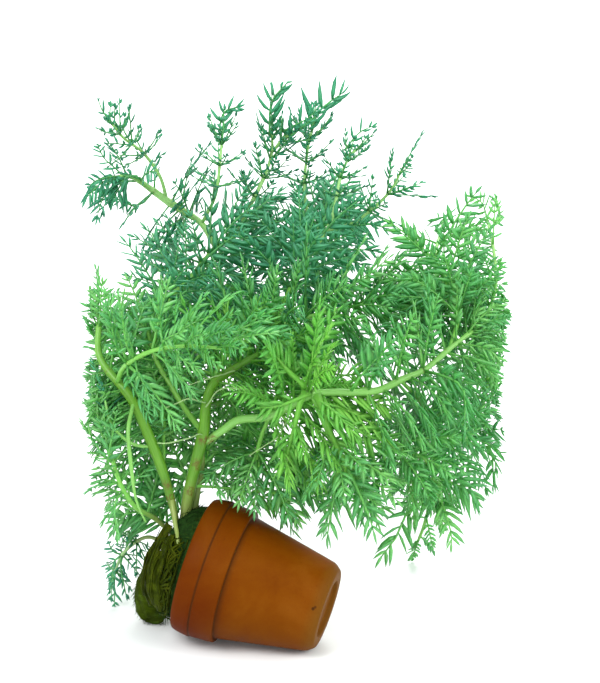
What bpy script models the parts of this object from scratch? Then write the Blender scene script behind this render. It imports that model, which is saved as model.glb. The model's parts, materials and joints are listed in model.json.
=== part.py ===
"""A water violet whose roots are held by a small terracotta pot that lies on its side.

Sizes and places are in millimetres, and object_from turns them into metres. X runs to the right,
Y away from the viewer and Z up. The surface that the pot lies on is at Z = 0. Places are first given
about the middle of the plant's spread, and main moves the whole to the middle of its box.
"""
import math

import bmesh
import bpy
import numpy as np
from mathutils import Matrix, Vector
from mathutils.bvhtree import BVHTree

METRES = 0.001
GAP = 0.3  # between pieces that touch
GOLDEN = (math.sqrt(5) - 1) / 2

# Pot, measured along its axis from the mouth to the foot
POT_LENGTH = 60.0
LIP_RADIUS = 29.0
COLLAR_RADIUS = 30.0
COLLAR_END_RADIUS = 29.0
COLLAR_GROOVE_AT = 8.5
COLLAR_GROOVE = 0.5
COLLAR_GROOVE_REACH = 1.6  # before the groove's bottom
COLLAR_GROOVE_RISE = 0.7  # after it
COLLAR_LENGTH = 18.5
COLLAR_STEP = 2.0
COLLAR_STEP_REACH = 0.4
LIP_ROUND = 1.0
FOOT_RADIUS = 19.4
FOOT_CHAMFER = 2.2
FOOT_RING_WIDTH = 4.6
FOOT_RECESS = 2.0
FOOT_RECESS_DRAFT = 0.8
POT_WALL = 3.6
POT_FLOOR = 4.0
POT_SEGMENTS = 28
POT_TURN = math.radians(15.0)  # how far the foot is swung towards the viewer
FOOT_CENTRE = (11.6, -59.6)
POT_MOUTH_SIDE = (-math.cos(POT_TURN), -0.9, 0.2)  # the way that flat sides of withered leaves face

# Root ball and moss
BALL_RISE = 12.0
BALL_SEGMENTS = 18
MOSS_CENTRE = (-63.0, -31.0, 12.5)
MOSS_RADII = (7.5, 10.0, 13.5)

# Comb leaf
LEAF_HALF_WIDTH = 0.65
LEAF_HALF_THICKNESS = 0.45
LEAF_STALK = 0.22  # share of the length without leaflets
LEAFLET_PAIRS = 5
SMALL_LEAF = 25.0  # a leaf shorter than this has one pair fewer
LEAFLET_LEAN = math.radians(38)  # towards the leaf's tip
STEM_SIDES = 6
TIP = -1  # stands for the stem's tip where a whorl's number goes
FORK_ROOM = 5.5  # between a whorl's middle and the start of a side shoot
BAND = 1.7  # height of the stem's ring that a whorl of leaves grows from
PLAIN_PITCH = 15.0  # longest stretch of stem without a ring
SPREAD_RADIUS = 78.0  # midribs turn aside this far from the middle, at the floor
SPREAD_SLOPE = 0.07  # and this much further for each millimetre of height

LEAF_GREEN = (0.10, 0.36, 0.07)
STEM_GREEN = (0.30, 0.50, 0.10)
TIP_GREEN = (0.08, 0.30, 0.16)
ROOT_GREEN = (0.38, 0.46, 0.20)
TERRACOTTA = (0.42, 0.16, 0.045)
PEAT = (0.07, 0.08, 0.03)
MOSS = (0.13, 0.13, 0.03)
WITHERED = (0.20, 0.16, 0.05)


class Shoot:
    """One stem with its leaves, which grows from the root ball or from another stem."""

    def __init__(self, name, parent, radii, route, leafy=1.0, pitch=9.0, leaf=28.0, droop=0.5,
                 solid=0, colour=LEAF_GREEN):
        self.name = name
        self.parent = parent
        self.radii = radii  # at the root, at the middle and at the tip
        self.route = route  # points that the stem runs through
        self.leafy = leafy  # share of the stem below the first whorl
        self.pitch = pitch  # between whorls
        self.leaf = leaf  # length of a leaf
        self.droop = droop  # how strongly leaves bend down, or up where it is negative
        self.solid = solid  # leaves that are modelled here
        self.colour = colour


SHOOTS = (
    Shoot("left_stem", "root_ball", (1.1, 2.4, 1.2),
          ((-50, -43, 36), (-52, -44, 52), (-56, -46, 71), (-62, -46, 89), (-70, -42, 106), (-83, -30, 119),
           (-84, -20, 131)),
          leafy=0.62, pitch=10, leaf=34, solid=3, colour=STEM_GREEN),
    Shoot("centre_stem", "root_ball", (2.2, 2.6, 1.3),
          ((-49, -42, 44), (-47, -43, 61), (-43, -45, 80), (-40, -45, 93), (-39, -42, 103), (-36, -38, 111),
           (-27, -30, 115), (-16, -22, 119)),
          leafy=0.74, pitch=9, leaf=34, solid=3, colour=STEM_GREEN),
    Shoot("right_branch", "centre_stem", (1.7, 1.7, 1.9),
          ((-39, -45, 88), (-32, -47, 94), (-25, -50, 100), (-13, -54, 103), (-3, -58, 110), (5, -60, 116)),
          leafy=0.62, pitch=8, leaf=40, droop=0.9, solid=5, colour=STEM_GREEN),
    Shoot("runner", "right_branch", (1.5, 1.5, 0.9),
          ((5, -60, 116), (15, -59, 116), (23, -57, 115), (33, -54, 115), (42, -50, 118), (51, -45, 120),
           (58, -40, 124), (63, -36, 127), (72, -28, 131)),
          leafy=0.30, pitch=13, leaf=36, droop=0.8, solid=4, colour=STEM_GREEN),
    Shoot("hanging_shoot", "runner", (0.9, 0.9, 0.7),
          ((28, -56, 115), (29, -56, 105), (35, -52, 92), (44, -46, 84), (52, -42, 79), (56, -40, 69),
           (58, -40, 59)),
          leafy=0.45, pitch=10, leaf=30, droop=0.4, solid=4),
    Shoot("middle_shoot", "right_branch", (1.1, 1.0, 0.7),
          ((5, -60, 115), (10, -62, 103), (15, -62, 92), (21, -60, 81)),
          leafy=0.55, pitch=9, leaf=32, droop=0.3, solid=3),
    Shoot("floor_shoot", "runner", (0.9, 0.9, 0.7),
          ((42, -50, 117), (50, -27, 99), (58, -5, 74), (57, 10, 44), (54, 20, 22.5), (51.5, 24.5, 12.4)),
          leafy=0.35, pitch=12, leaf=30, droop=0.2, solid=4),
    Shoot("low_leaf_shoot", "right_branch", (0.9, 0.9, 0.7),
          ((-13, -54, 102), (-16, -44, 90), (-18, -37, 76), (-13, -33, 68), (-4, -31, 66)),
          leafy=0.50, pitch=9, leaf=30, droop=0.5, solid=3),
    Shoot("left_bush", "root_ball", (1.0, 1.0, 0.7),
          ((-52, -37, 41), (-61, -42, 52), (-69, -50, 61), (-75, -52, 73), (-79, -45, 85), (-80, -37, 97)),
          leafy=0.22, pitch=9, leaf=28, droop=0.5, solid=3),
    Shoot("low_left_shoot", "root_ball", (0.9, 0.8, 0.6),
          ((-53, -37, 35), (-64, -32, 39), (-74, -26, 30), (-79, -18, 17), (-80.5, -15, 13)),
          leafy=0.40, pitch=12, leaf=16, droop=0.2, solid=2, colour=TIP_GREEN),
    Shoot("left_root", "left_stem", (0.8, 0.9, 0.4),
          ((-69, -43, 105), (-71, -54, 97), (-70, -58, 84), (-68, -59, 68), (-64, -58, 57)),
          colour=ROOT_GREEN),
    Shoot("left_arc", "left_stem", (0.7, 0.7, 0.5),
          ((-61, -46, 86), (-70, -49, 89), (-78, -48, 97), (-81, -42, 106)),
          leafy=0.85, pitch=9, leaf=20, solid=1, colour=ROOT_GREEN),
    Shoot("thin_stem", "centre_stem", (1.3, 1.2, 0.9),
          ((-40, -45, 92), (-48, -33, 98), (-54, -25, 105), (-60, -18, 113), (-64, -8, 123)),
          leafy=0.50, pitch=9, leaf=32, solid=2, colour=STEM_GREEN),
    Shoot("front_left_raft", "left_stem", (1.0, 0.9, 0.7),
          ((-76, -38, 112), (-72, -50, 124), (-60, -58, 134), (-45, -63, 138), (-31, -66, 138)),
          leafy=0.30, pitch=10, leaf=32, solid=3),
    Shoot("centre_raft", "centre_stem", (1.0, 1.0, 0.7),
          ((-37, -39, 110), (-30, -23, 119), (-12, -11, 125), (8, -4, 129), (27, 3, 131), (40, 9, 132)),
          leafy=0.25, pitch=11, leaf=34, solid=3),
    Shoot("back_left_shoot", "thin_stem", (1.0, 1.0, 0.9),
          ((-62, -14, 117), (-58, 2, 129), (-46, 18, 138), (-36, 30, 146), (-24, 40, 150)),
          leafy=0.30, pitch=11, leaf=32, solid=3),
    Shoot("upper_left_shoot", "back_left_shoot", (0.9, 1.7, 0.9),
          ((-36, 30, 146), (-42, 41, 153), (-50, 46, 157), (-57, 48, 161), (-64, 49, 166), (-71, 44, 173),
           (-77, 37, 176)),
          leafy=0.35, pitch=9, leaf=28, droop=0.5, solid=3, colour=TIP_GREEN),
    Shoot("pale_shoot", "upper_left_shoot", (0.8, 0.7, 0.5),
          ((-57, 48, 161), (-60, 51, 171), (-67, 50, 182), (-75, 46, 190), (-80, 42, 198)),
          leafy=0.50, pitch=8, leaf=15, droop=-0.4, solid=3, colour=ROOT_GREEN),
    Shoot("emergent_centre", "back_left_shoot", (1.0, 0.9, 0.5),
          ((-30, 36, 148), (-21, 44, 161), (-15, 50, 172), (-12, 54, 181), (-12, 56, 189)),
          leafy=0.42, pitch=9, leaf=18, droop=-0.5, solid=3, colour=TIP_GREEN),
    Shoot("emergent_right", "emergent_centre", (0.7, 0.7, 0.5),
          ((-12, 54, 181), (-7, 51, 188), (-1, 48, 193)),
          leafy=0.45, pitch=7, leaf=13, droop=-0.3, solid=2, colour=TIP_GREEN),
    Shoot("emergent_left", "upper_left_shoot", (0.8, 0.7, 0.5),
          ((-42, 41, 153), (-36, 35, 168), (-34, 37, 182), (-33, 40, 193)),
          leafy=0.50, pitch=9, leaf=14, droop=-0.3, solid=2, colour=TIP_GREEN),
    Shoot("back_raft", "centre_raft", (1.0, 1.0, 0.8),
          ((-12, -11, 125), (-5, 8, 134), (2, 30, 141), (8, 52, 147), (10, 66, 148)),
          leafy=0.30, pitch=12, leaf=32, solid=3),
    Shoot("emergent_far", "back_raft", (0.8, 0.7, 0.5),
          ((5, 46, 146), (2, 56, 162), (3, 62, 177), (5, 65, 187)),
          leafy=0.50, pitch=9, leaf=15, droop=-0.4, solid=2, colour=TIP_GREEN),
    Shoot("emergent_small", "back_raft", (0.8, 0.7, 0.5),
          ((3, 28, 141), (13, 33, 157), (17, 41, 173), (21, 47, 181), (26, 50, 185)),
          leafy=0.55, pitch=8, leaf=13, droop=-0.2, solid=2, colour=TIP_GREEN),
    Shoot("right_raft", "runner", (0.9, 0.9, 0.7),
          ((62, -37, 126), (66, -18, 134), (62, 2, 141), (58, 24, 145), (60, 42, 148)),
          leafy=0.25, pitch=11, leaf=30, solid=3),
    Shoot("far_tuft", "back_raft", (0.9, 0.8, 0.5),
          ((7, 48, 146), (24, 55, 149), (38, 60, 160), (44, 61, 171)),
          leafy=0.30, pitch=11, leaf=18, droop=0.0, solid=3, colour=TIP_GREEN),
    Shoot("right_wall_shoot", "runner", (0.9, 0.8, 0.6),
          ((68, -31, 129), (77, -20, 134), (82, -4, 141), (82, 14, 150), (80, 30, 157)),
          leafy=0.25, pitch=10, leaf=26, solid=3, colour=TIP_GREEN),
    Shoot("right_low_shoot", "floor_shoot", (0.8, 0.8, 0.6),
          ((58, -2, 70), (66, 10, 64), (75, 18, 70), (80, 18, 86), (79, 14, 104)),
          leafy=0.25, pitch=10, leaf=28, solid=3),
    Shoot("back_low_shoot", "back_left_shoot", (0.9, 0.8, 0.6),
          ((-53, 10, 134), (-52, 30, 122), (-40, 52, 108), (-22, 66, 96), (-4, 70, 90)),
          leafy=0.25, pitch=11, leaf=30, solid=3),
    Shoot("left_back_low_shoot", "thin_stem", (0.9, 0.8, 0.6),
          ((-56, -22, 108), (-66, -4, 98), (-72, 14, 88), (-70, 32, 82), (-62, 46, 80)),
          leafy=0.25, pitch=11, leaf=28, solid=3),
    Shoot("inner_shoot", "root_ball", (1.1, 1.0, 0.7),
          ((-49, -35, 42), (-47, -33.5, 60), (-42, -32, 69), (-38, -24, 77), (-33, -10, 80), (-26, 5, 78)),
          leafy=0.40, pitch=9, leaf=26, droop=0.8, solid=2),
    Shoot("inner_left_shoot", "left_stem", (0.8, 0.8, 0.6),
          ((-57, -46, 76), (-57, -36, 84), (-57, -26, 91), (-59, -14, 96)),
          leafy=0.45, pitch=8, leaf=26, droop=0.9, solid=2),
)

# Straps of withered leaf that hang over the moss: points and half widths
WITHERED_LEAVES = (
    ("withered_leaf_1", ((-54.5, -48, 52), (-59, -51, 44), (-62, -54, 35), (-62.5, -54, 26), (-60, -55, 17)), 2.6),
    ("withered_leaf_2", ((-53, -57, 51), (-57, -61, 44), (-60, -63, 35), (-60, -63, 27), (-59, -61, 18)), 2.3),
    ("withered_leaf_3", ((-59, -41, 42), (-62, -43, 36), (-63.5, -46, 29), (-64, -48, 22), (-62.5, -49, 15)), 2.3),
)
WITHERED_HALF_THICKNESS = 0.5


def unit(vector):
    """The vector at length 1."""
    return vector / np.linalg.norm(vector)


def smooth_route(points, count=240):
    """A Catmull-Rom curve through the points, read at even steps of its length."""
    points = np.array(points, float)
    ends = np.vstack([2 * points[0] - points[1], points, 2 * points[-1] - points[-2]])
    share = np.linspace(0, 1, 24, endpoint=False)[:, None]
    runs = []
    for a, b, c, d in zip(ends, ends[1:], ends[2:], ends[3:]):
        runs.append(0.5 * (2 * b + (c - a) * share + (2 * a - 5 * b + 4 * c - d) * share ** 2
                           + (3 * b - a - 3 * c + d) * share ** 3))
    dense = np.vstack(runs + [points[-1:]])
    travelled = np.concatenate([[0], np.cumsum(np.linalg.norm(np.diff(dense, axis=0), axis=1))])
    even = np.linspace(0, travelled[-1], count)
    return np.stack([np.interp(even, travelled, dense[:, k]) for k in range(3)], axis=1), travelled[-1]


def frames_along(route):
    """Tangents, and side vectors carried along the route without twist."""
    tangents = np.gradient(route, axis=0)
    tangents /= np.linalg.norm(tangents, axis=1)[:, None]
    side = np.cross(tangents[0], (0.0, 0.3, 1.0))
    sides = []
    for tangent in tangents:
        side = unit(side - tangent * np.dot(side, tangent))
        sides.append(side)
    return tangents, np.array(sides)


def wobble(number, scale=1.0):
    """A repeatable spread of values from -scale to scale."""
    return (2 * ((number * GOLDEN) % 1) - 1) * scale


class Stem:
    """The centre line of a shoot with its radius and the places of its whorls."""

    def __init__(self, shoot, order):
        self.shoot = shoot
        self.order = order
        self.line, self.length = smooth_route(shoot.route)
        self.tangents, self.sides = frames_along(self.line)
        first = shoot.leafy * self.length
        self.whorls = list(np.arange(first, self.length - 3.0, shoot.pitch)) if shoot.leafy < 1 else []
        self.start = 0.0

    def at(self, travelled):
        """Centre, tangent, side vector and radius at this length along the stem."""
        place = np.clip(travelled / self.length, 0, 1) * (len(self.line) - 1)
        low = min(int(place), len(self.line) - 2)
        part = place - low
        centre = self.line[low] * (1 - part) + self.line[low + 1] * part
        share = travelled / self.length
        radius = float(np.interp(share, (0, 0.45, 1), self.shoot.radii))
        return centre, self.tangents[low], self.sides[low], radius

    def ring(self, travelled):
        """The six corners of the stem at this length."""
        centre, tangent, side, radius = self.at(travelled)
        across = np.cross(tangent, side)
        turns = (np.arange(STEM_SIDES) + 0.5) * 2 * math.pi / STEM_SIDES
        return centre + radius * (np.cos(turns)[:, None] * side + np.sin(turns)[:, None] * across)

    def stations(self, leaves):
        """Lengths that have a ring of corners: two at each whorl in use, and enough between them."""
        marks = [self.start]
        for whorl in sorted({leaf.place[0] for leaf in leaves} - {TIP}):
            marks += [self.whorls[whorl] - BAND / 2, self.whorls[whorl] + BAND / 2]
        marks.append(self.length)
        filled = [marks[0]]
        for mark in marks[1:]:
            steps = max(1, math.ceil((mark - filled[-1]) / PLAIN_PITCH))
            filled += list(np.linspace(filled[-1], mark, steps + 1)[1:])
        return filled


class Leaf:
    """One comb leaf: a flat midrib that bends down, with pairs of leaflets."""

    def __init__(self, stem, whorl, side):
        self.place = (whorl, side)
        shoot = stem.shoot
        number = stem.order * 37 + whorl * STEM_SIDES + side
        self.length = shoot.leaf * (0.92 + wobble(number + 3, 0.16))
        self.pairs = LEAFLET_PAIRS - (shoot.leaf < SMALL_LEAF)
        if whorl == TIP:
            ring = stem.ring(stem.length)
            self.root = ring[[0, 1, 3, 4]]
            self.run(stem.line[-1], stem.tangents[-1], ring[1] - ring[0], shoot.droop)
            return
        centre, tangent, _, _ = stem.at(stem.whorls[whorl])
        low = stem.ring(stem.whorls[whorl] - BAND / 2)
        high = stem.ring(stem.whorls[whorl] + BAND / 2)
        ahead = (side + 1) % STEM_SIDES
        self.root = np.array([low[side], low[ahead], high[ahead], high[side]])
        middle = self.root.mean(axis=0)
        outward = unit(middle - centre - tangent * np.dot(middle - centre, tangent))
        share = (whorl + 1) / len(stem.whorls)
        rise = math.radians(8 + 40 * share ** 2 + wobble(number, 9))
        heading = unit(outward * math.cos(rise) + tangent * math.sin(rise)
                       + np.cross(tangent, outward) * wobble(number + 11, 0.25))
        self.run(middle, heading, self.root[1] - self.root[0], shoot.droop)

    def run(self, start, heading, across, droop):
        """Walks the midrib out from the stem, bending it down and away from the outer limit."""
        steps = self.pairs + 2
        shares = np.concatenate([[0], np.linspace(LEAF_STALK, 0.9, self.pairs + 1), [1.0]])
        place, points, headings = start, [start], [heading]
        for step in range(steps):
            heading = unit(heading + np.array((0, 0, -droop / steps)))
            reach = np.linalg.norm(place[:2])
            outer = place[:2] / reach
            if reach > SPREAD_RADIUS + SPREAD_SLOPE * place[2] and np.dot(heading[:2], outer) > 0:
                heading = heading.copy()
                heading[:2] -= outer * np.dot(heading[:2], outer) * 0.9
                heading = unit(heading)
            place = place + heading * self.length * (shares[step + 1] - shares[step])
            points.append(place)
            headings.append(heading)
        self.points = np.array(points)
        self.headings = np.array(headings)
        sides = []
        for heading in headings:
            across = unit(across - heading * np.dot(across, heading))
            sides.append(across)
        self.sides = np.array(sides)

    def rings(self, swell=0.0):
        """Corners of the midrib at each pair of leaflets, from the stalk's end on."""
        width = LEAF_HALF_WIDTH + swell
        thick = LEAF_HALF_THICKNESS + swell
        found = []
        for point, heading, side in zip(self.points[1:-1], self.headings[1:-1], self.sides[1:-1]):
            up = np.cross(heading, side)
            found.append(np.array([point - side * width - up * thick, point + side * width - up * thick,
                                   point + side * width + up * thick, point - side * width + up * thick]))
        return found

    def tip_of_leaflet(self, pair, sign):
        """Where a leaflet ends: out to its side, forward and a little down."""
        share = (pair + 0.5) / self.pairs
        reach = self.length * 0.27 * math.sin(math.pi * (0.22 + 0.66 * share))
        root = (self.points[pair + 1] + self.points[pair + 2]) / 2
        heading, side = self.headings[pair + 2], self.sides[pair + 2] * sign
        return (root + side * reach * math.cos(LEAFLET_LEAN) + heading * reach * math.sin(LEAFLET_LEAN)
                + np.array((0, 0, -0.14 * reach)))


def leaf_mesh(leaf, swell=0.0, base_corners=None):
    """Points and triangles of a leaf; its first four points are the corners that it grows from."""
    base = leaf.root if base_corners is None else base_corners
    rings = leaf.rings(swell)
    points = [corner for ring in [base] + rings for corner in ring]
    faces = []
    for k in range(len(rings)):
        for edge in range(4):
            a, b = 4 * k + edge, 4 * k + (edge + 1) % 4
            c, d = b + 4, a + 4
            if k > 0 and edge in (1, 3):
                apex = len(points)
                points.append(leaf.tip_of_leaflet(k - 1, 1 if edge == 1 else -1))
                faces += [(a, b, apex), (b, c, apex), (c, d, apex), (d, a, apex)]
            else:
                faces += [(a, b, c), (a, c, d)]
    last = 4 * len(rings)
    apex = len(points)
    points.append(leaf.points[-1])
    for edge in range(4):
        faces.append((last + edge, last + (edge + 1) % 4, apex))
    return points, faces


def signed_gap(tree, point):
    """Distance from the point to the surface, negative inside it."""
    near, normal, _, distance = tree.find_nearest(Vector(point))
    return math.copysign(distance, (Vector(point) - near).dot(normal))


def start_clear(stem, parent_tree):
    """Fits the stem's lower end to its parent's surface and returns that end's ring of corners."""
    while signed_gap(parent_tree, stem.at(stem.start)[0]) < GAP:
        stem.start += 0.1
    tangent = stem.at(stem.start)[1]
    end_ring = stem.ring(stem.start)
    for corner in end_ring:
        while signed_gap(parent_tree, corner) < 1.3 * GAP:
            corner += tangent * 0.1
    stem.start += 0.5
    while min(signed_gap(parent_tree, corner) for corner in stem.ring(stem.start)) < 2.5 * GAP:
        stem.start += 0.1
    return end_ring


def stem_mesh(stem, end_ring, leaves):
    """Points and triangles of a stem, with each leaf grown out of the side that it sits on."""
    marks = stem.stations(leaves)
    rings = [end_ring] + [stem.ring(mark) for mark in marks]
    points = [corner for ring in rings for corner in ring]
    bands = {}
    for whorl in {leaf.place[0] for leaf in leaves} - {TIP}:
        below = [abs(mark - (stem.whorls[whorl] - BAND / 2)) for mark in marks]
        bands[1 + int(np.argmin(below))] = whorl
    by_place = {leaf.place: leaf for leaf in leaves}
    faces = []
    for k in range(len(rings) - 1):
        for side in range(STEM_SIDES):
            ahead = (side + 1) % STEM_SIDES
            corners = (STEM_SIDES * k + side, STEM_SIDES * k + ahead,
                       STEM_SIDES * (k + 1) + ahead, STEM_SIDES * (k + 1) + side)
            leaf = by_place.get((bands.get(k), side))
            if leaf is None:
                faces += [(corners[0], corners[1], corners[2]), (corners[0], corners[2], corners[3])]
            else:
                attach(leaf, corners, points, faces)
    for side in range(1, STEM_SIDES - 1):
        faces.append((0, side + 1, side))
    last = STEM_SIDES * (len(rings) - 1)
    leaf = by_place.get((TIP, 0))
    if leaf is None:
        points.append(stem.line[-1] + stem.tangents[-1] * 1.5)
        for side in range(STEM_SIDES):
            faces.append((last + side, last + (side + 1) % STEM_SIDES, len(points) - 1))
    else:
        faces += [(last + 1, last + 2, last + 3), (last + 4, last + 5, last)]
        attach(leaf, (last, last + 1, last + 3, last + 4), points, faces)
    return points, faces


def attach(leaf, corners, points, faces):
    """Adds a leaf to a mesh, on the four corners that it grows from."""
    leaf_points, leaf_faces = leaf_mesh(leaf)
    shift = len(points) - 4
    points.extend(leaf_points[4:])
    for face in leaf_faces:
        faces.append(tuple(corners[i] if i < 4 else i + shift for i in face))


def grown(stem, trees, leaves):
    """The stem's mesh, fitted to the parent that it grows from."""
    stem.start = 0.0
    end_ring = start_clear(stem, trees[stem.shoot.parent])
    return stem_mesh(stem, end_ring, leaves)


def tree_of(points, faces):
    """A search tree of a mesh given in millimetres."""
    return BVHTree.FromPolygons([Vector(p) for p in points], faces)


def object_from(name, points, faces, colour, roughness, parent, smooth=False):
    """An object of the given triangles, in metres, with a material of its own."""
    mesh = bpy.data.meshes.new(name)
    mesh.from_pydata([tuple(float(v) * METRES for v in point) for point in points], [], faces)
    mesh.validate()
    if smooth:
        mesh.shade_smooth()
        mesh.set_sharp_from_angle(angle=math.radians(35))
    mesh.materials.append(material(name, colour, roughness))
    made = bpy.data.objects.new(name, mesh)
    made.parent = parent
    bpy.context.scene.collection.objects.link(made)
    return made


def material(name, colour, roughness):
    """A plain surface of one colour."""
    made = bpy.data.materials.new(name)
    made.use_nodes = True
    shader = made.node_tree.nodes["Principled BSDF"]
    shader.inputs["Base Color"].default_value = (*colour, 1.0)
    shader.inputs["Roughness"].default_value = roughness
    shader.inputs["Metallic"].default_value = 0.0
    return made


def turned(profile, segments):
    """Points and triangles of a profile of (along, radius) turned about X."""
    shape = bmesh.new()
    chain = [shape.verts.new((along, 0.0, -radius)) for along, radius in profile]
    edges = [shape.edges.new(pair) for pair in zip(chain, chain[1:])]
    half_step = Matrix.Rotation(math.pi / segments, 4, "X")
    bmesh.ops.transform(shape, matrix=half_step, verts=chain)
    bmesh.ops.spin(shape, geom=chain + edges, cent=(0, 0, 0), axis=(1, 0, 0), angle=2 * math.pi,
                   steps=segments, use_merge=True)
    bmesh.ops.remove_doubles(shape, verts=shape.verts, dist=0.01)
    bmesh.ops.recalc_face_normals(shape, faces=shape.faces)
    bmesh.ops.triangulate(shape, faces=shape.faces)
    points = [np.array(vert.co) for vert in shape.verts]
    faces = [tuple(vert.index for vert in face.verts) for face in shape.faces]
    shape.free()
    return points, faces


def inner_radius(along):
    """Inside radius of the pot at this distance from the mouth."""
    body_share = (POT_LENGTH - POT_FLOOR) / POT_LENGTH
    deep = FOOT_RADIUS - POT_WALL + FOOT_RECESS_DRAFT
    return np.interp(along, (0, POT_LENGTH * body_share), (LIP_RADIUS - POT_WALL, deep))


def pot_profile():
    """The pot's section: up the inside, over the lip, down the collar and body, and under the foot."""
    inside_end = POT_LENGTH - POT_FLOOR
    body_end = POT_LENGTH - FOOT_CHAMFER
    ring_inner = FOOT_RADIUS - FOOT_CHAMFER - FOOT_RING_WIDTH
    collar_fall = (COLLAR_RADIUS - COLLAR_END_RADIUS) / COLLAR_LENGTH
    past_groove = COLLAR_GROOVE_AT + COLLAR_GROOVE_RISE
    return (
        (inside_end, 0.0),
        (inside_end, inner_radius(inside_end)),
        (LIP_ROUND, inner_radius(LIP_ROUND)),
        (0.0, inner_radius(0.0) + LIP_ROUND),
        (0.0, LIP_RADIUS - LIP_ROUND),
        (LIP_ROUND, LIP_RADIUS),
        (COLLAR_GROOVE_AT - COLLAR_GROOVE_REACH, COLLAR_RADIUS),
        (COLLAR_GROOVE_AT, COLLAR_RADIUS - collar_fall * COLLAR_GROOVE_AT - COLLAR_GROOVE),
        (past_groove, COLLAR_RADIUS - collar_fall * past_groove),
        (COLLAR_LENGTH, COLLAR_END_RADIUS),
        (COLLAR_LENGTH + COLLAR_STEP_REACH, COLLAR_END_RADIUS - COLLAR_STEP),
        (body_end, FOOT_RADIUS),
        (POT_LENGTH, FOOT_RADIUS - FOOT_CHAMFER),
        (POT_LENGTH, ring_inner),
        (POT_LENGTH - FOOT_RECESS, ring_inner - FOOT_RECESS_DRAFT),
        (POT_LENGTH - FOOT_RECESS, 0.0),
    )


def pot_placement():
    """The matrix that lays the pot on its collar and foot, with its foot towards the viewer's right."""
    rest_length = POT_LENGTH - FOOT_CHAMFER - COLLAR_LENGTH
    slope = math.atan2(COLLAR_END_RADIUS - FOOT_RADIUS, rest_length)
    flat = math.cos(math.pi / POT_SEGMENTS)
    foot_height = (FOOT_RADIUS * math.cos(slope) - FOOT_CHAMFER * math.sin(slope)) * flat
    axis = Vector((math.cos(POT_TURN), -math.sin(POT_TURN), -math.tan(slope))).normalized()
    side = Vector((0, 0, 1)).cross(axis).normalized()
    turn = Matrix((axis, side, axis.cross(side))).transposed().to_4x4()
    mouth = Vector((*FOOT_CENTRE, foot_height)) - axis * POT_LENGTH
    return Matrix.Translation(mouth) @ turn


def placed(points, matrix):
    """The points moved by the matrix."""
    return [np.array(matrix @ Vector(point)) for point in points]


def root_ball_shape():
    """The plug of roots in the pot, with a lumpy dome out of the mouth."""
    inside_end = POT_LENGTH - POT_FLOOR - GAP
    profile = [(inside_end, 0.0), (inside_end, inner_radius(inside_end) - GAP),
               (LIP_ROUND, inner_radius(LIP_ROUND) - GAP)]
    for turn in np.linspace(0.18, 1.0, 5) * math.pi / 2:
        profile.append((-BALL_RISE * math.sin(turn), (inner_radius(0) - 1.2) * math.cos(turn) ** 0.6))
    profile[-1] = (-BALL_RISE, 0.0)
    points, faces = turned(profile, BALL_SEGMENTS)
    for point in points:
        out = min(1.0, max(0.0, -point[0] / 5))
        around = math.atan2(point[1], point[2])
        lump = 0.09 * math.sin(3 * around + 0.4) + 0.06 * math.sin(5 * around + point[0] * 0.5)
        point[1] *= 1 - out * abs(lump)
        point[2] *= 1 - out * abs(lump)
        point[0] *= 1 + out * lump
    return points, faces


def moss_clump_shape():
    """A lumpy rounded clump with a flat underside."""
    shape = bmesh.new()
    bmesh.ops.create_icosphere(shape, subdivisions=3, radius=1.0)
    points = []
    for vert in shape.verts:
        x, y, z = vert.co
        lump = 1 + 0.07 * math.sin(4 * x + 2 * z + 1) + 0.06 * math.sin(5 * y - 3 * x)
        lump += 0.05 * math.sin(6 * z)
        point = np.array((x, y, z)) * np.array(MOSS_RADII) * lump + np.array(MOSS_CENTRE)
        point[2] = max(point[2], 0.0)
        points.append(point)
    faces = [tuple(vert.index for vert in face.verts) for face in shape.faces]
    shape.free()
    return points, faces


def strap_shape(route, half_width):
    """A withered leaf: a flat strap along the route, narrowing to both ends."""
    line, _ = smooth_route(route, 9)
    tangents, _ = frames_along(line)
    points, faces = [], []
    for k, (centre, tangent) in enumerate(zip(line, tangents)):
        side = unit(np.cross(tangent, POT_MOUTH_SIDE))
        up = np.cross(side, tangent)
        width = half_width * (0.35 + 0.65 * math.sin(math.pi * (0.1 + 0.8 * k / 8)))
        for across, lift in ((-1, -1), (1, -1), (1, 1), (-1, 1)):
            points.append(centre + side * across * width + up * lift * WITHERED_HALF_THICKNESS)
    for k in range(8):
        for edge in range(4):
            a, b = 4 * k + edge, 4 * k + (edge + 1) % 4
            faces += [(a, b + 4, b), (a, a + 4, b + 4)]
    faces += [(0, 1, 2), (0, 2, 3), (32, 34, 33), (32, 35, 34)]
    return points, faces


def leaf_places(stem):
    """Places for leaves, as (whorl, side): the tip, then opposite sides of whorls along the stem."""
    if not stem.shoot.solid:
        return []
    forks = [shoot.route[0] for shoot in SHOOTS if shoot.parent == stem.shoot.name]
    count = len(stem.whorls)
    free = [whorl for whorl in range(count)
            if all(math.dist(stem.at(stem.whorls[whorl])[0], fork) > FORK_ROOM for fork in forks)]
    order = sorted(free, key=lambda whorl: ((whorl - count + 1) * GOLDEN) % 1)
    opposite = [(whorl, side) for whorl in order for side in range(STEM_SIDES) if side % 3 == whorl % 3]
    return [(TIP, 0)] + opposite


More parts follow.
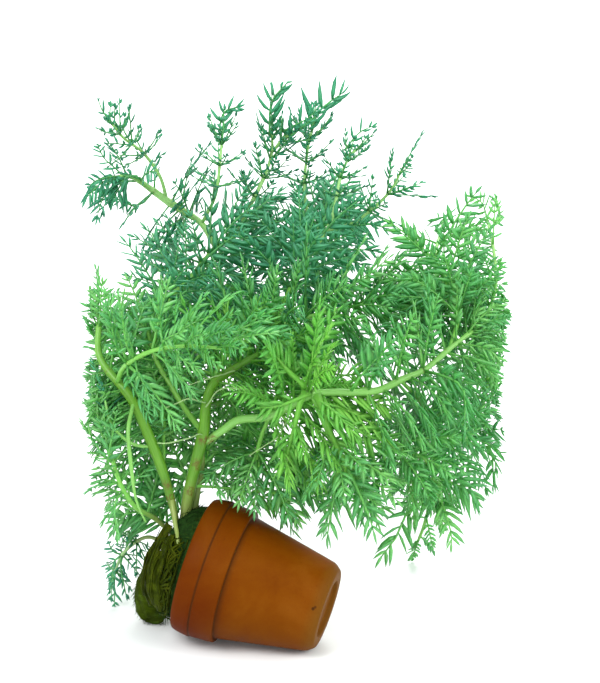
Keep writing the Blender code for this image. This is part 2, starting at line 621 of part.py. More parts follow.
def choose_leaves(stems, trees):
    """Gives each stem the leaves that cut through nothing, one leaf to each stem in turn."""
    taken = []
    chosen = {stem.shoot.name: [] for stem in stems}
    waiting = {stem.shoot.name: leaf_places(stem) for stem in stems}
    for _ in range(max(len(places) for places in waiting.values())):
        for stem in stems:
            name = stem.shoot.name
            if len(chosen[name]) >= stem.shoot.solid or not waiting[name]:
                continue
            leaf = Leaf(stem, *waiting[name].pop(0))
            free = tree_of(*leaf_mesh(leaf, GAP, leaf.root + leaf.headings[0] * 0.8))
            whole = tree_of(*leaf_mesh(leaf, GAP))
            lowest = min(point[2] for point in leaf_mesh(leaf)[0])
            others = [tree for other, tree in trees.items() if other != name]
            blocked = any(whole.overlap(tree) for tree in taken + others)
            if lowest < GAP or blocked or free.overlap(trees[name]):
                continue
            taken.append(whole)
            chosen[name].append(leaf)
    return chosen


def main():
    for old in list(bpy.data.objects):
        bpy.data.objects.remove(old, do_unlink=True)
    placement = pot_placement()
    pot_points, pot_faces = turned(pot_profile(), POT_SEGMENTS)
    pot_points = placed(pot_points, placement)
    ball_points, ball_faces = root_ball_shape()
    ball_points = placed(ball_points, placement)
    shapes = {
        "pot": (pot_points, pot_faces, TERRACOTTA, 0.6),
        "root_ball": (ball_points, ball_faces, PEAT, 0.9),
        "moss_clump": (*moss_clump_shape(), MOSS, 0.9),
    }
    for name, route, half_width in WITHERED_LEAVES:
        shapes[name] = (*strap_shape(route, half_width), WITHERED, 0.8)
    trees = {name: tree_of(shape[0], shape[1]) for name, shape in shapes.items()}
    stems = [Stem(shoot, order) for order, shoot in enumerate(SHOOTS)]
    for stem in stems:
        trees[stem.shoot.name] = tree_of(*grown(stem, trees, ()))
    chosen = choose_leaves(stems, trees)
    for stem in stems:
        name = stem.shoot.name
        points, faces = grown(stem, trees, chosen[name])
        shapes[name] = (points, faces, stem.shoot.colour, 0.45)
        trees[name] = tree_of(points, faces)

    everything = np.array([point for shape in shapes.values() for point in shape[0]])
    low, high = everything.min(axis=0), everything.max(axis=0)
    plant = bpy.data.objects.new("plant", None)
    plant.location = [-(low[0] + high[0]) / 2 * METRES, -(low[1] + high[1]) / 2 * METRES, -low[2] * METRES]
    bpy.context.scene.collection.objects.link(plant)
    for name, (points, faces, colour, roughness) in shapes.items():
        object_from(name, points, faces, colour, roughness, plant, smooth=name in ("pot", "moss_clump"))


main()
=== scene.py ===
"""A water violet with comb leaves, whose roots are held by a small terracotta pot that lies on its side.

Sizes are in millimetres unless a name says otherwise, and Skin.piece turns them into metres. The plant is
worked out about the middle of its spread, and SHIFT then moves it to its place in the part's frame.
"""

import json
import math
from typing import NamedTuple

import bpy
import numpy as np
from bpy.props import FloatProperty, FloatVectorProperty, IntProperty, PointerProperty
from bpy.types import Operator, Panel, PropertyGroup
from mathutils import Matrix, Vector

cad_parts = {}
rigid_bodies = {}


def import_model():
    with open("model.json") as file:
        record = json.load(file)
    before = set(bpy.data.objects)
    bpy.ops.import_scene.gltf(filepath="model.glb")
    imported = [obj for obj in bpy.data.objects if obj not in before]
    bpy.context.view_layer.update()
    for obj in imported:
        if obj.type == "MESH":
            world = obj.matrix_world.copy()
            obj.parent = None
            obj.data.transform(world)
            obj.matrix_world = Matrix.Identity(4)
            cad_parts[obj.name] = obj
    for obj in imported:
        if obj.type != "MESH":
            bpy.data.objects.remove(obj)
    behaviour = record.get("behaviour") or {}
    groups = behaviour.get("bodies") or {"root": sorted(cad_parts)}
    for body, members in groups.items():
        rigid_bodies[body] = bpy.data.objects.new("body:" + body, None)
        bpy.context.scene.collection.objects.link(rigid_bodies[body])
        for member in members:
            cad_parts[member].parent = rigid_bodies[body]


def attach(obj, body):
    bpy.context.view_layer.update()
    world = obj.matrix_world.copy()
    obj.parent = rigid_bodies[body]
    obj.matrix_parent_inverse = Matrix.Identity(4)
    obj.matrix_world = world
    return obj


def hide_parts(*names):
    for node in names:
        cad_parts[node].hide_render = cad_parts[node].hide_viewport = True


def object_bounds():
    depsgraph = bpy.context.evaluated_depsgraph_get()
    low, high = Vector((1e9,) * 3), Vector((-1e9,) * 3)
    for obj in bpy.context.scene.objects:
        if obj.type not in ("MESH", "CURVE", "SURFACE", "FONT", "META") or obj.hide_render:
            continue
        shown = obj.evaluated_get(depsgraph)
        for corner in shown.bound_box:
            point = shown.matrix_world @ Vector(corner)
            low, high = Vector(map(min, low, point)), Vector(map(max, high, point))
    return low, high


bl_info = {
    "name": "Water Violet",
    "version": (1, 0, 0),
    "blender": (4, 5, 0),
    "location": "View3D > Sidebar > Water Violet",
    "description": "Builds a bushy water plant with comb leaves, rooted in a small terracotta pot",
    "category": "Object",
}

MM = 0.001
TURN = 2 * math.pi
GOLDEN = (math.sqrt(5) - 1) / 2

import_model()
CAD_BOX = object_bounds()
SHIFT = np.array((2.302, -3.793, 0.0))
LOW, HIGH = (np.array(corner) / MM - SHIFT for corner in CAD_BOX)

# The pot, measured along its axis from the mouth to the foot
POT_LENGTH = 60.0
LIP_RADIUS = 29.0
COLLAR_RADIUS = 30.0
COLLAR_END_RADIUS = 29.0
COLLAR_LENGTH = 18.5
COLLAR_STEP = 2.0  # from the end of the collar in to the body
GROOVE_PLACE = 8.5
FOOT_RADIUS = 19.4
FOOT_CHAMFER = 2.2
FOOT_RING = 4.6  # width of the ring around the foot's recess
FOOT_RECESS = 2.0
POT_WALL = 3.6
POT_FLOOR = 4.0
INSIDE_END = POT_LENGTH - POT_FLOOR
CAD_POT_SEGMENTS = 28
CAD_FLAT = math.cos(math.pi / CAD_POT_SEGMENTS)  # how far in the middles of the solid's flats are
POT_PITS = ((math.radians(-112.4), 56.6), (math.radians(-115.0), 57.4))  # two small dark pits: turn, along
PIT_SIZE = (0.45, 0.95)  # dark up to the first, gone at the second
POT_TURN = math.radians(15.0)  # how far the foot is swung towards the viewer
FOOT_CENTRE = (11.6, -59.6)

BALL_RISE = 12.0  # of the root ball out of the mouth
DOME_POWER = 0.6  # below 1, the root ball's dome is fuller than an ellipse
DOME_BACK = 14.0  # a point of the dome faces away from the axis this far behind it
MOSS_CENTRE = np.array((-63.0, -31.0, 12.5))
MOSS_RADII = np.array((7.5, 10.0, 13.5))
STRAP_STRIPS = 14  # narrow strips on each withered leaf

STEM_SIDES = 6  # leaves in a whorl
LEAF_STALK = 0.22  # share of a leaf's length without leaflets
LEAFY_SHARE = 0.72  # of a leaf's length, along which its leaflets are spaced
SOLID_PAIRS = 5  # leaflets on each side of a leaf of the part's solids
SOLID_STEPS = SOLID_PAIRS + 2  # of such a leaf's midrib, each of which is halved here
MIDRIB_SHARES = np.interp(np.arange(2 * SOLID_STEPS + 1) / 2, np.arange(SOLID_STEPS + 1),
                          (0, *np.linspace(LEAF_STALK, 0.9, SOLID_PAIRS + 1), 1))
LEAFLET_SHARE = 0.29  # length of the longest leaflets, as a share of their leaf's
LEAFLET_STEPS = np.array((0.0, 0.34, 0.7, 1.0))
LEAFLET_WIDTHS = np.array((0.42, 1.0, 0.80, 0.07))
LEAFLET_THICKNESS = 0.34  # at most
HAIR_STEPS = np.array((0.0, 0.35, 0.7, 1.0))
HAIR_WIDTHS = np.array((1.0, 0.85, 0.6, 0.15))
SMALL_LEAF = 25.0  # a shoot with longer leaves is lush: it has younger whorls and a full bunch at its tip
FULL_LEAF = 34.0  # a leaf of this length has a midrib of the full width
FULL_LEAFLET = 8.0  # and a leaflet of this length is as wide as leaflets are
TIP_ROOM = 3.0  # between the last whorl and the tip
TIP_ROUNDING = 0.45  # radius of a stem's last ring, as a share of what it would be
TIP_TURN = 2.4  # from one leaf of the bunch at a tip to the next, close to the golden angle
STATION_GAP = 1.3  # between the rings of a stem's skin
JOINT_SWELL, JOINT_LENGTH = 0.13, 1.3  # how much a stem is thicker at a whorl, and over what length
RING_LENGTH = 0.8  # of the brown ring at a whorl
THICK_STEM = 1.3  # a stem with a larger radius has more sides
THICK_SIDES, THIN_SIDES = 14, 9
FAR_ALONG = 99.0  # what a stem that starts outside the root ball reads as its length out of the ball
NO_WHORL = 1e3  # a place past the end of every stem, for one that has no whorl
SHOOT_NUMBERS = 37  # leaf numbers from one shoot to the next; they set what differs between leaves
YOUNGER_NUMBERS = 2000  # from a whorl's leaves to those of the younger whorl after it
TRACED_NUMBERS = 5000  # the first traced leaf's
TRACED_STATIONS = 15
TRACED_SHADE = 0.62

# Room for the leaves
FRONT, DEPTH = -60.0, 140.0  # of the leaves: their nearest places, and from there to the furthest
SPREAD_RADIUS = 78.0  # leaves bend aside past this radius, at the height of the floor
SPREAD_SLOPE = 0.07  # how much that radius grows with height
BOX_ROOM = 0.5  # between a midrib and the part's box
EDGE_ROOM = np.array((-1.8, -1.8, 0.6))  # between a leaflet and that box; a tip may stand past its sides
FLOOR_ROOM = 0.8
COMB_ROOM = 1.6  # kept free of leaves in front of each side of a bare stem
POT_OVERLAP = 2.0  # how far leaves may reach over the pot, seen from the front
PROBE_SHARE = 0.27  # how far to the side of a midrib its room is tried, as a share of the leaf's length
SHORTER = 0.84  # a leaf without room is cut to this share of its length
FIT_TRIES = 7

# Thin stretches of a stem: from and to, as shares of its length, leaves in a whorl, length of most of them
SPARSE = {
    "floor_shoot": (0.48, 1.0, 2, 0.5), "left_bush": (0.0, 0.42, 6, 1.0),
    "upper_left_shoot": (0.42, 1.0, 2, 1.0), "inner_shoot": (0.0, 0.6, 6, 1.0),
    "hanging_shoot": (0.62, 1.0, 6, 0.5), "right_wall_shoot": (0.45, 1.0, 2, 1.0),
    "right_raft": (0.58, 1.0, 2, 1.0),
}
NOT_SPARSE = (2.0, 2.0, 6, 1.0)
# Painted light and shade added to the tone of a shoot's leaves: lighter where leaves sit in the plant's own
# shade, darker on a few shoots
PAINTED_LIGHT_AND_SHADE = {
    "inner_shoot": 0.30, "inner_left_shoot": 0.25, "left_back_low_shoot": 0.15, "back_low_shoot": 0.15,
    "low_leaf_shoot": 0.10, "runner": -0.06, "front_left_raft": -0.10, "back_raft": 0.45,
    "back_left_shoot": 0.45, "far_tuft": 0.2,
}
FRESHNESS = (1.0, 1.0, 0.55)
FRESH_SHOOTS = ("right_branch", "centre_stem")  # with yellower leaves
FAR_SHOOTS = ("back_raft", "back_left_shoot")  # with the leaf skin of the shoots above them
NEAR_SHOOTS = ("right_wall_shoot",)  # with the leaf skin of the lower shoots
YOUNG_STEMS = ("right_branch", "runner", "left_root", "left_arc")  # with a yellower, paler skin
BARE_STEMS = ("left_stem", "centre_stem", "right_branch", "runner", "thin_stem", "left_root")

FLOOR_SIDES = 96
FLOOR_RADIUS = 6.0  # in metres, as the camera's sizes are
CAMERA_HEIGHT = 0.1151  # of the point that the camera looks at
CAMERA_DISTANCE = 2.0
CAMERA_ELEVATION = math.radians(21.5)
CAMERA_LENS = 249.5


class Shoot(NamedTuple):
    """One stem with its leaves, which grows from the root ball or from another stem."""

    name: str
    parent: str
    radii: tuple  # at the root, at the middle and at the tip
    route: tuple  # points that the stem runs through
    leafy: float = 1.0  # share of the stem below the first whorl
    pitch: float = 9.0  # between whorls
    leaf: float = 28.0  # length of a leaf
    droop: float = 0.5  # how strongly leaves bend down, or up where it is negative
    slot: str = "leaf_green"  # of the record's materials


SHOOTS = (
    Shoot("left_stem", "root_ball", (1.1, 2.4, 1.2),
          ((-50, -43, 36), (-52, -44, 52), (-56, -46, 71), (-62, -46, 89), (-70, -42, 106), (-83, -30, 119),
           (-84, -20, 131)),
          leafy=0.62, pitch=10, leaf=34, slot="stem_green"),
    Shoot("centre_stem", "root_ball", (2.2, 2.6, 1.3),
          ((-49, -42, 44), (-47, -43, 61), (-43, -45, 80), (-40, -45, 93), (-39, -42, 103), (-36, -38, 111),
           (-27, -30, 115), (-16, -22, 119)),
          leafy=0.74, leaf=34, slot="stem_green"),
    Shoot("right_branch", "centre_stem", (1.7, 1.7, 1.9),
          ((-39, -45, 88), (-32, -47, 94), (-25, -50, 100), (-13, -54, 103), (-3, -58, 110), (5, -60, 116)),
          leafy=0.62, pitch=8, leaf=40, droop=0.9, slot="stem_green"),
    Shoot("runner", "right_branch", (1.5, 1.5, 0.9),
          ((5, -60, 116), (15, -59, 116), (23, -57, 115), (33, -54, 115), (42, -50, 118), (51, -45, 120),
           (58, -40, 124), (63, -36, 127), (72, -28, 131)),
          leafy=0.30, pitch=13, leaf=36, droop=0.8, slot="stem_green"),
    Shoot("hanging_shoot", "runner", (0.9, 0.9, 0.7),
          ((28, -56, 115), (29, -56, 105), (35, -52, 92), (44, -46, 84), (52, -42, 79), (56, -40, 69),
           (58, -40, 59)),
          leafy=0.45, pitch=10, leaf=30, droop=0.4),
    Shoot("middle_shoot", "right_branch", (1.1, 1.0, 0.7),
          ((5, -60, 115), (10, -62, 103), (15, -62, 92), (21, -60, 81)),
          leafy=0.55, leaf=32, droop=0.3),
    Shoot("floor_shoot", "runner", (0.9, 0.9, 0.7),
          ((42, -50, 117), (50, -27, 99), (58, -5, 74), (57, 10, 44), (54, 20, 22.5), (51.5, 24.5, 12.4)),
          leafy=0.35, pitch=12, leaf=30, droop=0.2),
    Shoot("low_leaf_shoot", "right_branch", (0.9, 0.9, 0.7),
          ((-13, -54, 102), (-16, -44, 90), (-18, -37, 76), (-13, -33, 68), (-4, -31, 66)),
          leafy=0.50, leaf=30),
    Shoot("left_bush", "root_ball", (1.0, 1.0, 0.7),
          ((-52, -37, 41), (-61, -42, 52), (-69, -50, 61), (-75, -52, 73), (-79, -45, 85), (-80, -37, 97)),
          leafy=0.22),
    Shoot("low_left_shoot", "root_ball", (0.9, 0.8, 0.6),
          ((-53, -37, 35), (-64, -32, 39), (-74, -26, 30), (-79, -18, 17), (-80.5, -15, 13)),
          leafy=0.40, pitch=12, leaf=16, droop=0.2, slot="tip_green"),
    Shoot("left_root", "left_stem", (0.8, 0.9, 0.4),
          ((-69, -43, 105), (-71, -54, 97), (-70, -58, 84), (-68, -59, 68), (-64, -58, 57)),
          slot="root_green"),
    Shoot("left_arc", "left_stem", (0.7, 0.7, 0.5),
          ((-61, -46, 86), (-70, -49, 89), (-78, -48, 97), (-81, -42, 106)),
          leafy=0.85, leaf=20, slot="root_green"),
    Shoot("thin_stem", "centre_stem", (1.3, 1.2, 0.9),
          ((-40, -45, 92), (-48, -33, 98), (-54, -25, 105), (-60, -18, 113), (-64, -8, 123)),
          leafy=0.50, leaf=32, slot="stem_green"),
    Shoot("front_left_raft", "left_stem", (1.0, 0.9, 0.7),
          ((-76, -38, 112), (-72, -50, 124), (-60, -58, 134), (-45, -63, 138), (-31, -66, 138)),
          leafy=0.30, pitch=10, leaf=32),
    Shoot("centre_raft", "centre_stem", (1.0, 1.0, 0.7),
          ((-37, -39, 110), (-30, -23, 119), (-12, -11, 125), (8, -4, 129), (27, 3, 131), (40, 9, 132)),
          leafy=0.25, pitch=11, leaf=34),
    Shoot("back_left_shoot", "thin_stem", (1.0, 1.0, 0.9),
          ((-62, -14, 117), (-58, 2, 129), (-46, 18, 138), (-36, 30, 146), (-24, 40, 150)),
          leafy=0.30, pitch=11, leaf=32),
    Shoot("upper_left_shoot", "back_left_shoot", (0.9, 1.7, 0.9),
          ((-36, 30, 146), (-42, 41, 153), (-50, 46, 157), (-57, 48, 161), (-64, 49, 166), (-71, 44, 173),
           (-77, 37, 176)),
          leafy=0.35, slot="tip_green"),
    Shoot("pale_shoot", "upper_left_shoot", (0.8, 0.7, 0.5),
          ((-57, 48, 161), (-60, 51, 171), (-67, 50, 182), (-75, 46, 190), (-80, 42, 198)),
          leafy=0.50, pitch=8, leaf=15, droop=-0.4, slot="root_green"),
    Shoot("emergent_centre", "back_left_shoot", (1.0, 0.9, 0.5),
          ((-30, 36, 148), (-21, 44, 161), (-15, 50, 172), (-12, 54, 181), (-12, 56, 189)),
          leafy=0.42, leaf=18, droop=-0.5, slot="tip_green"),
    Shoot("emergent_right", "emergent_centre", (0.7, 0.7, 0.5),
          ((-12, 54, 181), (-7, 51, 188), (-1, 48, 193)),
          leafy=0.45, pitch=7, leaf=13, droop=-0.3, slot="tip_green"),
    Shoot("emergent_left", "upper_left_shoot", (0.8, 0.7, 0.5),
          ((-42, 41, 153), (-36, 35, 168), (-34, 37, 182), (-33, 40, 193)),
          leafy=0.50, leaf=14, droop=-0.3, slot="tip_green"),
    Shoot("back_raft", "centre_raft", (1.0, 1.0, 0.8),
          ((-12, -11, 125), (-5, 8, 134), (2, 30, 141), (8, 52, 147), (10, 66, 148)),
          leafy=0.30, pitch=12, leaf=32),
    Shoot("emergent_far", "back_raft", (0.8, 0.7, 0.5),
          ((5, 46, 146), (2, 56, 162), (3, 62, 177), (5, 65, 187)),
          leafy=0.50, leaf=15, droop=-0.4, slot="tip_green"),
    Shoot("emergent_small", "back_raft", (0.8, 0.7, 0.5),
          ((3, 28, 141), (13, 33, 157), (17, 41, 173), (21, 47, 181), (26, 50, 185)),
          leafy=0.55, pitch=8, leaf=13, droop=-0.2, slot="tip_green"),
    Shoot("right_raft", "runner", (0.9, 0.9, 0.7),
          ((62, -37, 126), (66, -18, 134), (62, 2, 141), (58, 24, 145), (60, 42, 148)),
          leafy=0.25, pitch=11, leaf=30),
    Shoot("far_tuft", "back_raft", (0.9, 0.8, 0.5),
          ((7, 48, 146), (24, 55, 149), (38, 60, 160), (44, 61, 171)),
          leafy=0.30, pitch=11, leaf=18, droop=0.0, slot="tip_green"),
    Shoot("right_wall_shoot", "runner", (0.9, 0.8, 0.6),
          ((68, -31, 129), (77, -20, 134), (82, -4, 141), (82, 14, 150), (80, 30, 157)),
          leafy=0.25, pitch=10, leaf=26, slot="tip_green"),
    Shoot("right_low_shoot", "floor_shoot", (0.8, 0.8, 0.6),
          ((58, -2, 70), (66, 10, 64), (75, 18, 70), (80, 18, 86), (79, 14, 104)),
          leafy=0.25, pitch=10),
    Shoot("back_low_shoot", "back_left_shoot", (0.9, 0.8, 0.6),
          ((-53, 10, 134), (-52, 30, 122), (-40, 52, 108), (-22, 66, 96), (-4, 70, 90)),
          leafy=0.25, pitch=11, leaf=30),
    Shoot("left_back_low_shoot", "thin_stem", (0.9, 0.8, 0.6),
          ((-56, -22, 108), (-66, -4, 98), (-72, 14, 88), (-70, 32, 82), (-62, 46, 80)),
          leafy=0.25, pitch=11),
    Shoot("inner_shoot", "root_ball", (1.1, 1.0, 0.7),
          ((-49, -35, 42), (-47, -33.5, 60), (-42, -32, 69), (-38, -24, 77), (-33, -10, 80), (-26, 5, 78)),
          leafy=0.40, leaf=26, droop=0.8),
    Shoot("inner_left_shoot", "left_stem", (0.8, 0.8, 0.6),
          ((-57, -46, 76), (-57, -36, 84), (-57, -26, 91), (-59, -14, 96)),
          leafy=0.45, pitch=8, leaf=26, droop=0.9),
)

# Straps of withered leaf that hang over the moss: name, points, half width
WITHERED_LEAVES = (
    ("withered_leaf_1",
     ((-54.5, -48, 52), (-59, -51, 44), (-62, -54, 35), (-62.5, -54, 26), (-60, -55, 17)), 2.6),
    ("withered_leaf_2",
     ((-53, -57, 51), (-57, -61, 44), (-60, -63, 35), (-60, -63, 27), (-59, -61, 18)), 2.3),
    ("withered_leaf_3",
     ((-59, -41, 42), (-62, -43, 36), (-63.5, -46, 29), (-64, -48, 22), (-62.5, -49, 15)), 2.3),
)

# Where old leaves have left brown scars on the thick stems: shoot, length along it, size
SCARS = (
    ("left_stem", 27.0, 3.0), ("left_stem", 34.0, 2.4), ("centre_stem", 22.0, 2.2),
    ("centre_stem", 35.0, 2.6), ("centre_stem", 47.0, 2.4), ("right_branch", 2.5, 2.6),
)


class Traced(NamedTuple):
    """One leaf that shows clearly from the front."""

    route: tuple  # points that its midrib runs through
    pairs: int = 7  # of leaflets
    reach: float = 10.0  # length of the longest leaflets
    stalk: float = 0.10  # share of the midrib without leaflets
    hang: float = 0.25  # how far leaflets bend down, or up where it is negative
    stout: float = 1.0  # thickness of the midrib as a share of the usual


TRACED = {
    "right_branch": (
        Traced(((2, -61, 117), (0, -64, 114), (-2, -67, 105), (-5, -67, 93), (-5, -65, 83)),
               6, stalk=0.50, stout=1.8),
        Traced(((7, -61, 116), (10, -66, 109), (14, -68, 98), (18, -67, 89), (19, -64, 78)),
               6, stalk=0.50, stout=1.9),
        Traced(((9, -61, 115), (13, -66, 110), (20, -68, 105), (29, -66, 99), (39, -62, 95)),
               stalk=0.45, stout=1.3),
        Traced(((4, -61, 116), (-2, -65, 115), (-9, -67, 113), (-16, -66, 112)), 5, 8.5, 0.40, stout=1.5),
        Traced(((2, -60, 118), (0, -62, 122), (-5, -62.5, 127), (-11, -61, 134)), 5, 8.5, 0.55, -0.1, 2.0),
    ),
    "runner": (
        Traced(((21, -60, 117), (25, -63, 125), (31, -63, 132), (37, -61, 138)), 6, 8.5, 0.35, -0.1),
    ),
    "hanging_shoot": (
        Traced(((56, -41, 70), (61, -46, 71), (67, -48, 69), (73, -48, 64)), 8, 9.0, 0.15, 0.6),
        Traced(((57, -40, 62), (50, -44, 60), (43, -47, 54), (41, -47, 47), (34, -46, 36)), stalk=0.15),
    ),
    "low_leaf_shoot": (
        Traced(((-4, -32, 64), (5, -36, 64), (19, -42, 61), (28, -44, 59), (36, -44, 57)),
               5, 9.0, 0.45, 0.6),
    ),
    "centre_stem": (
        Traced(((-43, -45, 68), (-34, -44, 67), (-25, -44, 65.5), (-14, -44, 62), (-2, -44, 55)),
               6, 8.5, 0.40, 0.3),
    ),
    "left_bush": (
        Traced(((-60, -41, 51), (-64, -37, 58), (-67, -33, 66), (-69, -30, 76)), hang=0.1),
        Traced(((-58, -40, 49), (-60, -36, 57), (-62, -33, 65), (-63, -31, 75)), hang=0.1),
        Traced(((-64, -45, 55), (-62, -40, 61), (-60, -36, 68), (-59, -34, 76)), 7, 9.0, hang=0.1),
        Traced(((-60, -41, 51), (-67, -38, 53), (-74, -36, 51), (-79, -35, 46)), hang=0.3),
        Traced(((-56, -39, 46), (-62, -35, 49), (-68, -32, 47), (-73, -31, 40)), hang=0.3),
        Traced(((-56, -40, 46), (-56, -37, 53), (-57, -34, 60), (-57, -32, 68)), 6, 9.0, hang=0.1),
    ),
    "inner_shoot": (
        Traced(((-47, -33, 64), (-50, -29, 71), (-54, -26, 79), (-57, -23, 87)), hang=0.1),
        Traced(((-44, -32, 68), (-49, -27, 66), (-52, -24, 59), (-53, -22, 50)), 7, 9.0, hang=0.2),
        Traced(((-43, -31, 69), (-36, -28, 67), (-31, -27, 60), (-28, -26, 50)), hang=0.3),
        Traced(((-41, -31, 71), (-34, -26, 76), (-26, -23, 76), (-19, -22, 71)), hang=0.3),
        Traced(((-48, -34, 56), (-45, -30, 63), (-44, -26, 72), (-46, -23, 82)), 7, 9.0, hang=0.1),
    ),
    "inner_left_shoot": (
        Traced(((-57, -38, 82), (-63, -33, 78), (-66, -30, 70), (-66, -28, 60)), 7, 9.0, hang=0.3),
        Traced(((-57, -34, 86), (-51, -30, 88), (-47, -27, 94), (-46, -24, 103)), 7, 9.0, hang=0.1),
    ),
    "upper_left_shoot": (
        Traced(((-69, 37, 176), (-77, 38, 176), (-85, 36, 173), (-91, 34, 167)), 8, 6.0, 0.15, 0.9),
        Traced(((-64, 48, 164), (-70, 46, 159), (-80, 42, 165), (-90, 40, 170)), 9, 3.5, 0.25),
        Traced(((-68, 40, 174), (-74, 36, 176), (-79, 36, 167)), 5, 8.0, 0.30, 0.7),
    ),
    "emergent_centre": (
        Traced(((-13, 55, 187), (-13, 57, 195), (-12, 58, 203), (-6, 59, 210)), 6, 8.0, hang=-0.4),
    ),
    "emergent_left": (
        Traced(((-33, 40, 192), (-34, 42, 197), (-32, 43, 203), (-26, 44, 205)), 6, 7.0, 0.05, -0.1),
    ),
    "emergent_right": (
        Traced(((-8, 51, 191), (-2, 49, 195), (3, 48, 198), (7, 48, 202)), 5, 6.5, 0.05, -0.5),
    ),
    "emergent_far": (
        Traced(((5, 67, 187), (7, 68, 193), (12, 69, 198), (18, 70, 202)), 5, 9.0, hang=-0.5),
    ),
    "emergent_small": (
        Traced(((19, 50, 183), (22, 51, 187), (26, 52, 191), (31, 53, 193)), 4, 5.0, hang=-0.4),
    ),
}

# Bare pale rootlets that cross the thick stems: shoot, thickness, points. The first two are thick stem feet.
ROOTLETS = (
    ("inner_shoot", 5.2, ((-44.8, -40, 50), (-43.6, -39, 58), (-41.6, -38.5, 71), (-40.4, -38, 86))),
    ("left_stem", 3.4,
     ((-53.5, -46, 62), (-52.5, -51, 57), (-51.4, -56.2, 52.4), (-50.6, -61, 49), (-50, -63.6, 44))),
    ("centre_stem", 1, ((-59, -48, 89), (-52, -50, 90), (-45, -50, 92), (-42, -49, 93), (-40, -46, 91))),
    ("right_branch", 1, ((-39, -44, 103), (-33, -46, 112), (-24, -48, 113), (-15, -48, 111))),
    ("centre_stem", 1, ((-27, -34, 115), (-36, -40, 115), (-46, -41, 112))),
    ("centre_stem", 1, ((-39, -44, 105), (-46, -47, 108), (-56, -47, 104))),
    ("right_branch", 1, ((-4, -57, 109), (-8, -55, 96), (-15, -52, 89), (-21, -50, 84))),
)
ROOTLET_RADIUS = 0.32


def unit(vectors):
    """Each vector at length 1."""
    return vectors / np.linalg.norm(vectors, axis=-1, keepdims=True)


def directions(paths):
    """The direction of travel at each station of the paths."""
    return unit(np.gradient(paths, axis=-2))


def swung(first, second, turn):
    """The first of two vectors, swung towards the second: first * cos(turn) + second * sin(turn)."""
    return first * np.cos(turn) + second * np.sin(turn)


def circle(steps, start=0):
    """Angles at even steps around a circle, the first of them this many steps on."""
    return (np.arange(steps) + start) * TURN / steps


def wobble(number, scale=1.0):
    """A repeatable spread of values from -scale to scale: the share of number times the golden ratio."""
    return (2 * ((np.asarray(number) * GOLDEN) % 1) - 1) * scale


def rumple(points, waves, seed, count=9):
    """Soft lumps from about -1 to 1: the sum of sine waves of much the same length, in many directions."""
    draw = np.random.default_rng(seed)
    runs = unit(draw.normal(size=(count, 3))) * draw.uniform(0.7, 1.4, (count, 1)) * waves
    phases = draw.uniform(0, TURN, count)
    return np.sin(points @ runs.T + phases).sum(axis=-1) / math.sqrt(count) * 0.8


def smooth_route(points, count=240):
    """A Catmull-Rom curve through the points, read at even steps of its length, and that length."""
    points = np.array(points, float)
    ends = np.vstack([2 * points[0] - points[1], points, 2 * points[-1] - points[-2]])
    a, b, c, d = (ends[k:len(ends) - 3 + k, None] for k in range(4))
    share = np.linspace(0, 1, 24, endpoint=False)[None, :, None]
    runs = 0.5 * (2 * b + (c - a) * share + (2 * a - 5 * b + 4 * c - d) * share ** 2
                  + (3 * b - a - 3 * c + d) * share ** 3)
    dense = np.vstack([runs.reshape(-1, 3), points[-1:]])
    travelled = np.concatenate([[0], np.cumsum(np.linalg.norm(np.diff(dense, axis=0), axis=1))])
    even = np.linspace(0, travelled[-1], count)
    return np.stack([np.interp(even, travelled, dense[:, k]) for k in range(3)], axis=1), travelled[-1]


def carried(tangents, side):
    """Side vectors carried along paths without twist: each is the one before, made square to the path."""
    sides = np.empty_like(tangents)
    for station in range(tangents.shape[-2]):
        tangent = tangents[..., station, :]
        side = unit(side - tangent * (side * tangent).sum(axis=-1, keepdims=True))
        sides[..., station, :] = side
    return sides


def shown(name, data, place=(0, 0, 0), towards=None):
    """Puts an object into the scene, at a place and with its -Z turned in a direction."""
    made = bpy.data.objects.new(name, data)
    made.location = place
    if towards is not None:
        made.rotation_euler = towards.to_track_quat("-Z", "Y").to_euler()
    bpy.context.scene.collection.objects.link(made)
    return made


class Skin:
    """Points, faces and named values of one piece, gathered before they become its mesh."""

    def __init__(self):
        self.points, self.quads, self.triangles, self.values = [], [], [], []
        self.count = 0

    def add(self, points, quads, triangles, kind=0, **values):
        """Adds a surface. kind is its material, and each value is a number or three for every point."""
        self.quads.append((quads + self.count, kind))
        self.triangles.append((triangles + self.count, kind))
        self.points.append(points)
        self.values.append((len(points), values))
        self.count += len(points)

    def piece(self, name, materials, attributes=()):
        """Turns what was gathered into a smooth mesh in metres, in the part's frame."""
        faces = self.quads + self.triangles
        corners = np.concatenate([made.ravel() for made, _ in faces])
        sizes = np.concatenate([np.full(len(made), made.shape[1]) for made, _ in faces])
        kinds = np.concatenate([np.full(len(made), kind) for made, kind in faces])
        mesh = bpy.data.meshes.new(name)
        mesh.vertices.add(self.count)
        mesh.loops.add(len(corners))
        mesh.polygons.add(len(sizes))
        placed = (np.concatenate(self.points) + SHIFT) * MM
        mesh.vertices.foreach_set("co", placed.astype(np.float32).ravel())
        for layer, key, numbers in ((mesh.loops, "vertex_index", corners),
                                    (mesh.polygons, "loop_start", np.cumsum(sizes) - sizes),
                                    (mesh.polygons, "material_index", kinds)):
            layer.foreach_set(key, numbers.astype(np.int32))
        for made in materials:
            mesh.materials.append(made)
        for attribute in attributes:
            width, kind, key = (3, "FLOAT_VECTOR", "vector") if attribute == "rod" else (1, "FLOAT", "value")
            given = [(size, np.reshape(values.get(attribute, np.zeros(width)), (-1, width)))
                     for size, values in self.values]
            filled = np.concatenate([np.broadcast_to(value, (size, width)) for size, value in given])
            layer = mesh.attributes.new(attribute, kind, "POINT")
            layer.data.foreach_set(key, filled.astype(np.float32).ravel())
        mesh.update(calc_edges=True)
        mesh.validate()
        mesh.shade_smooth()
        return shown(name, mesh)


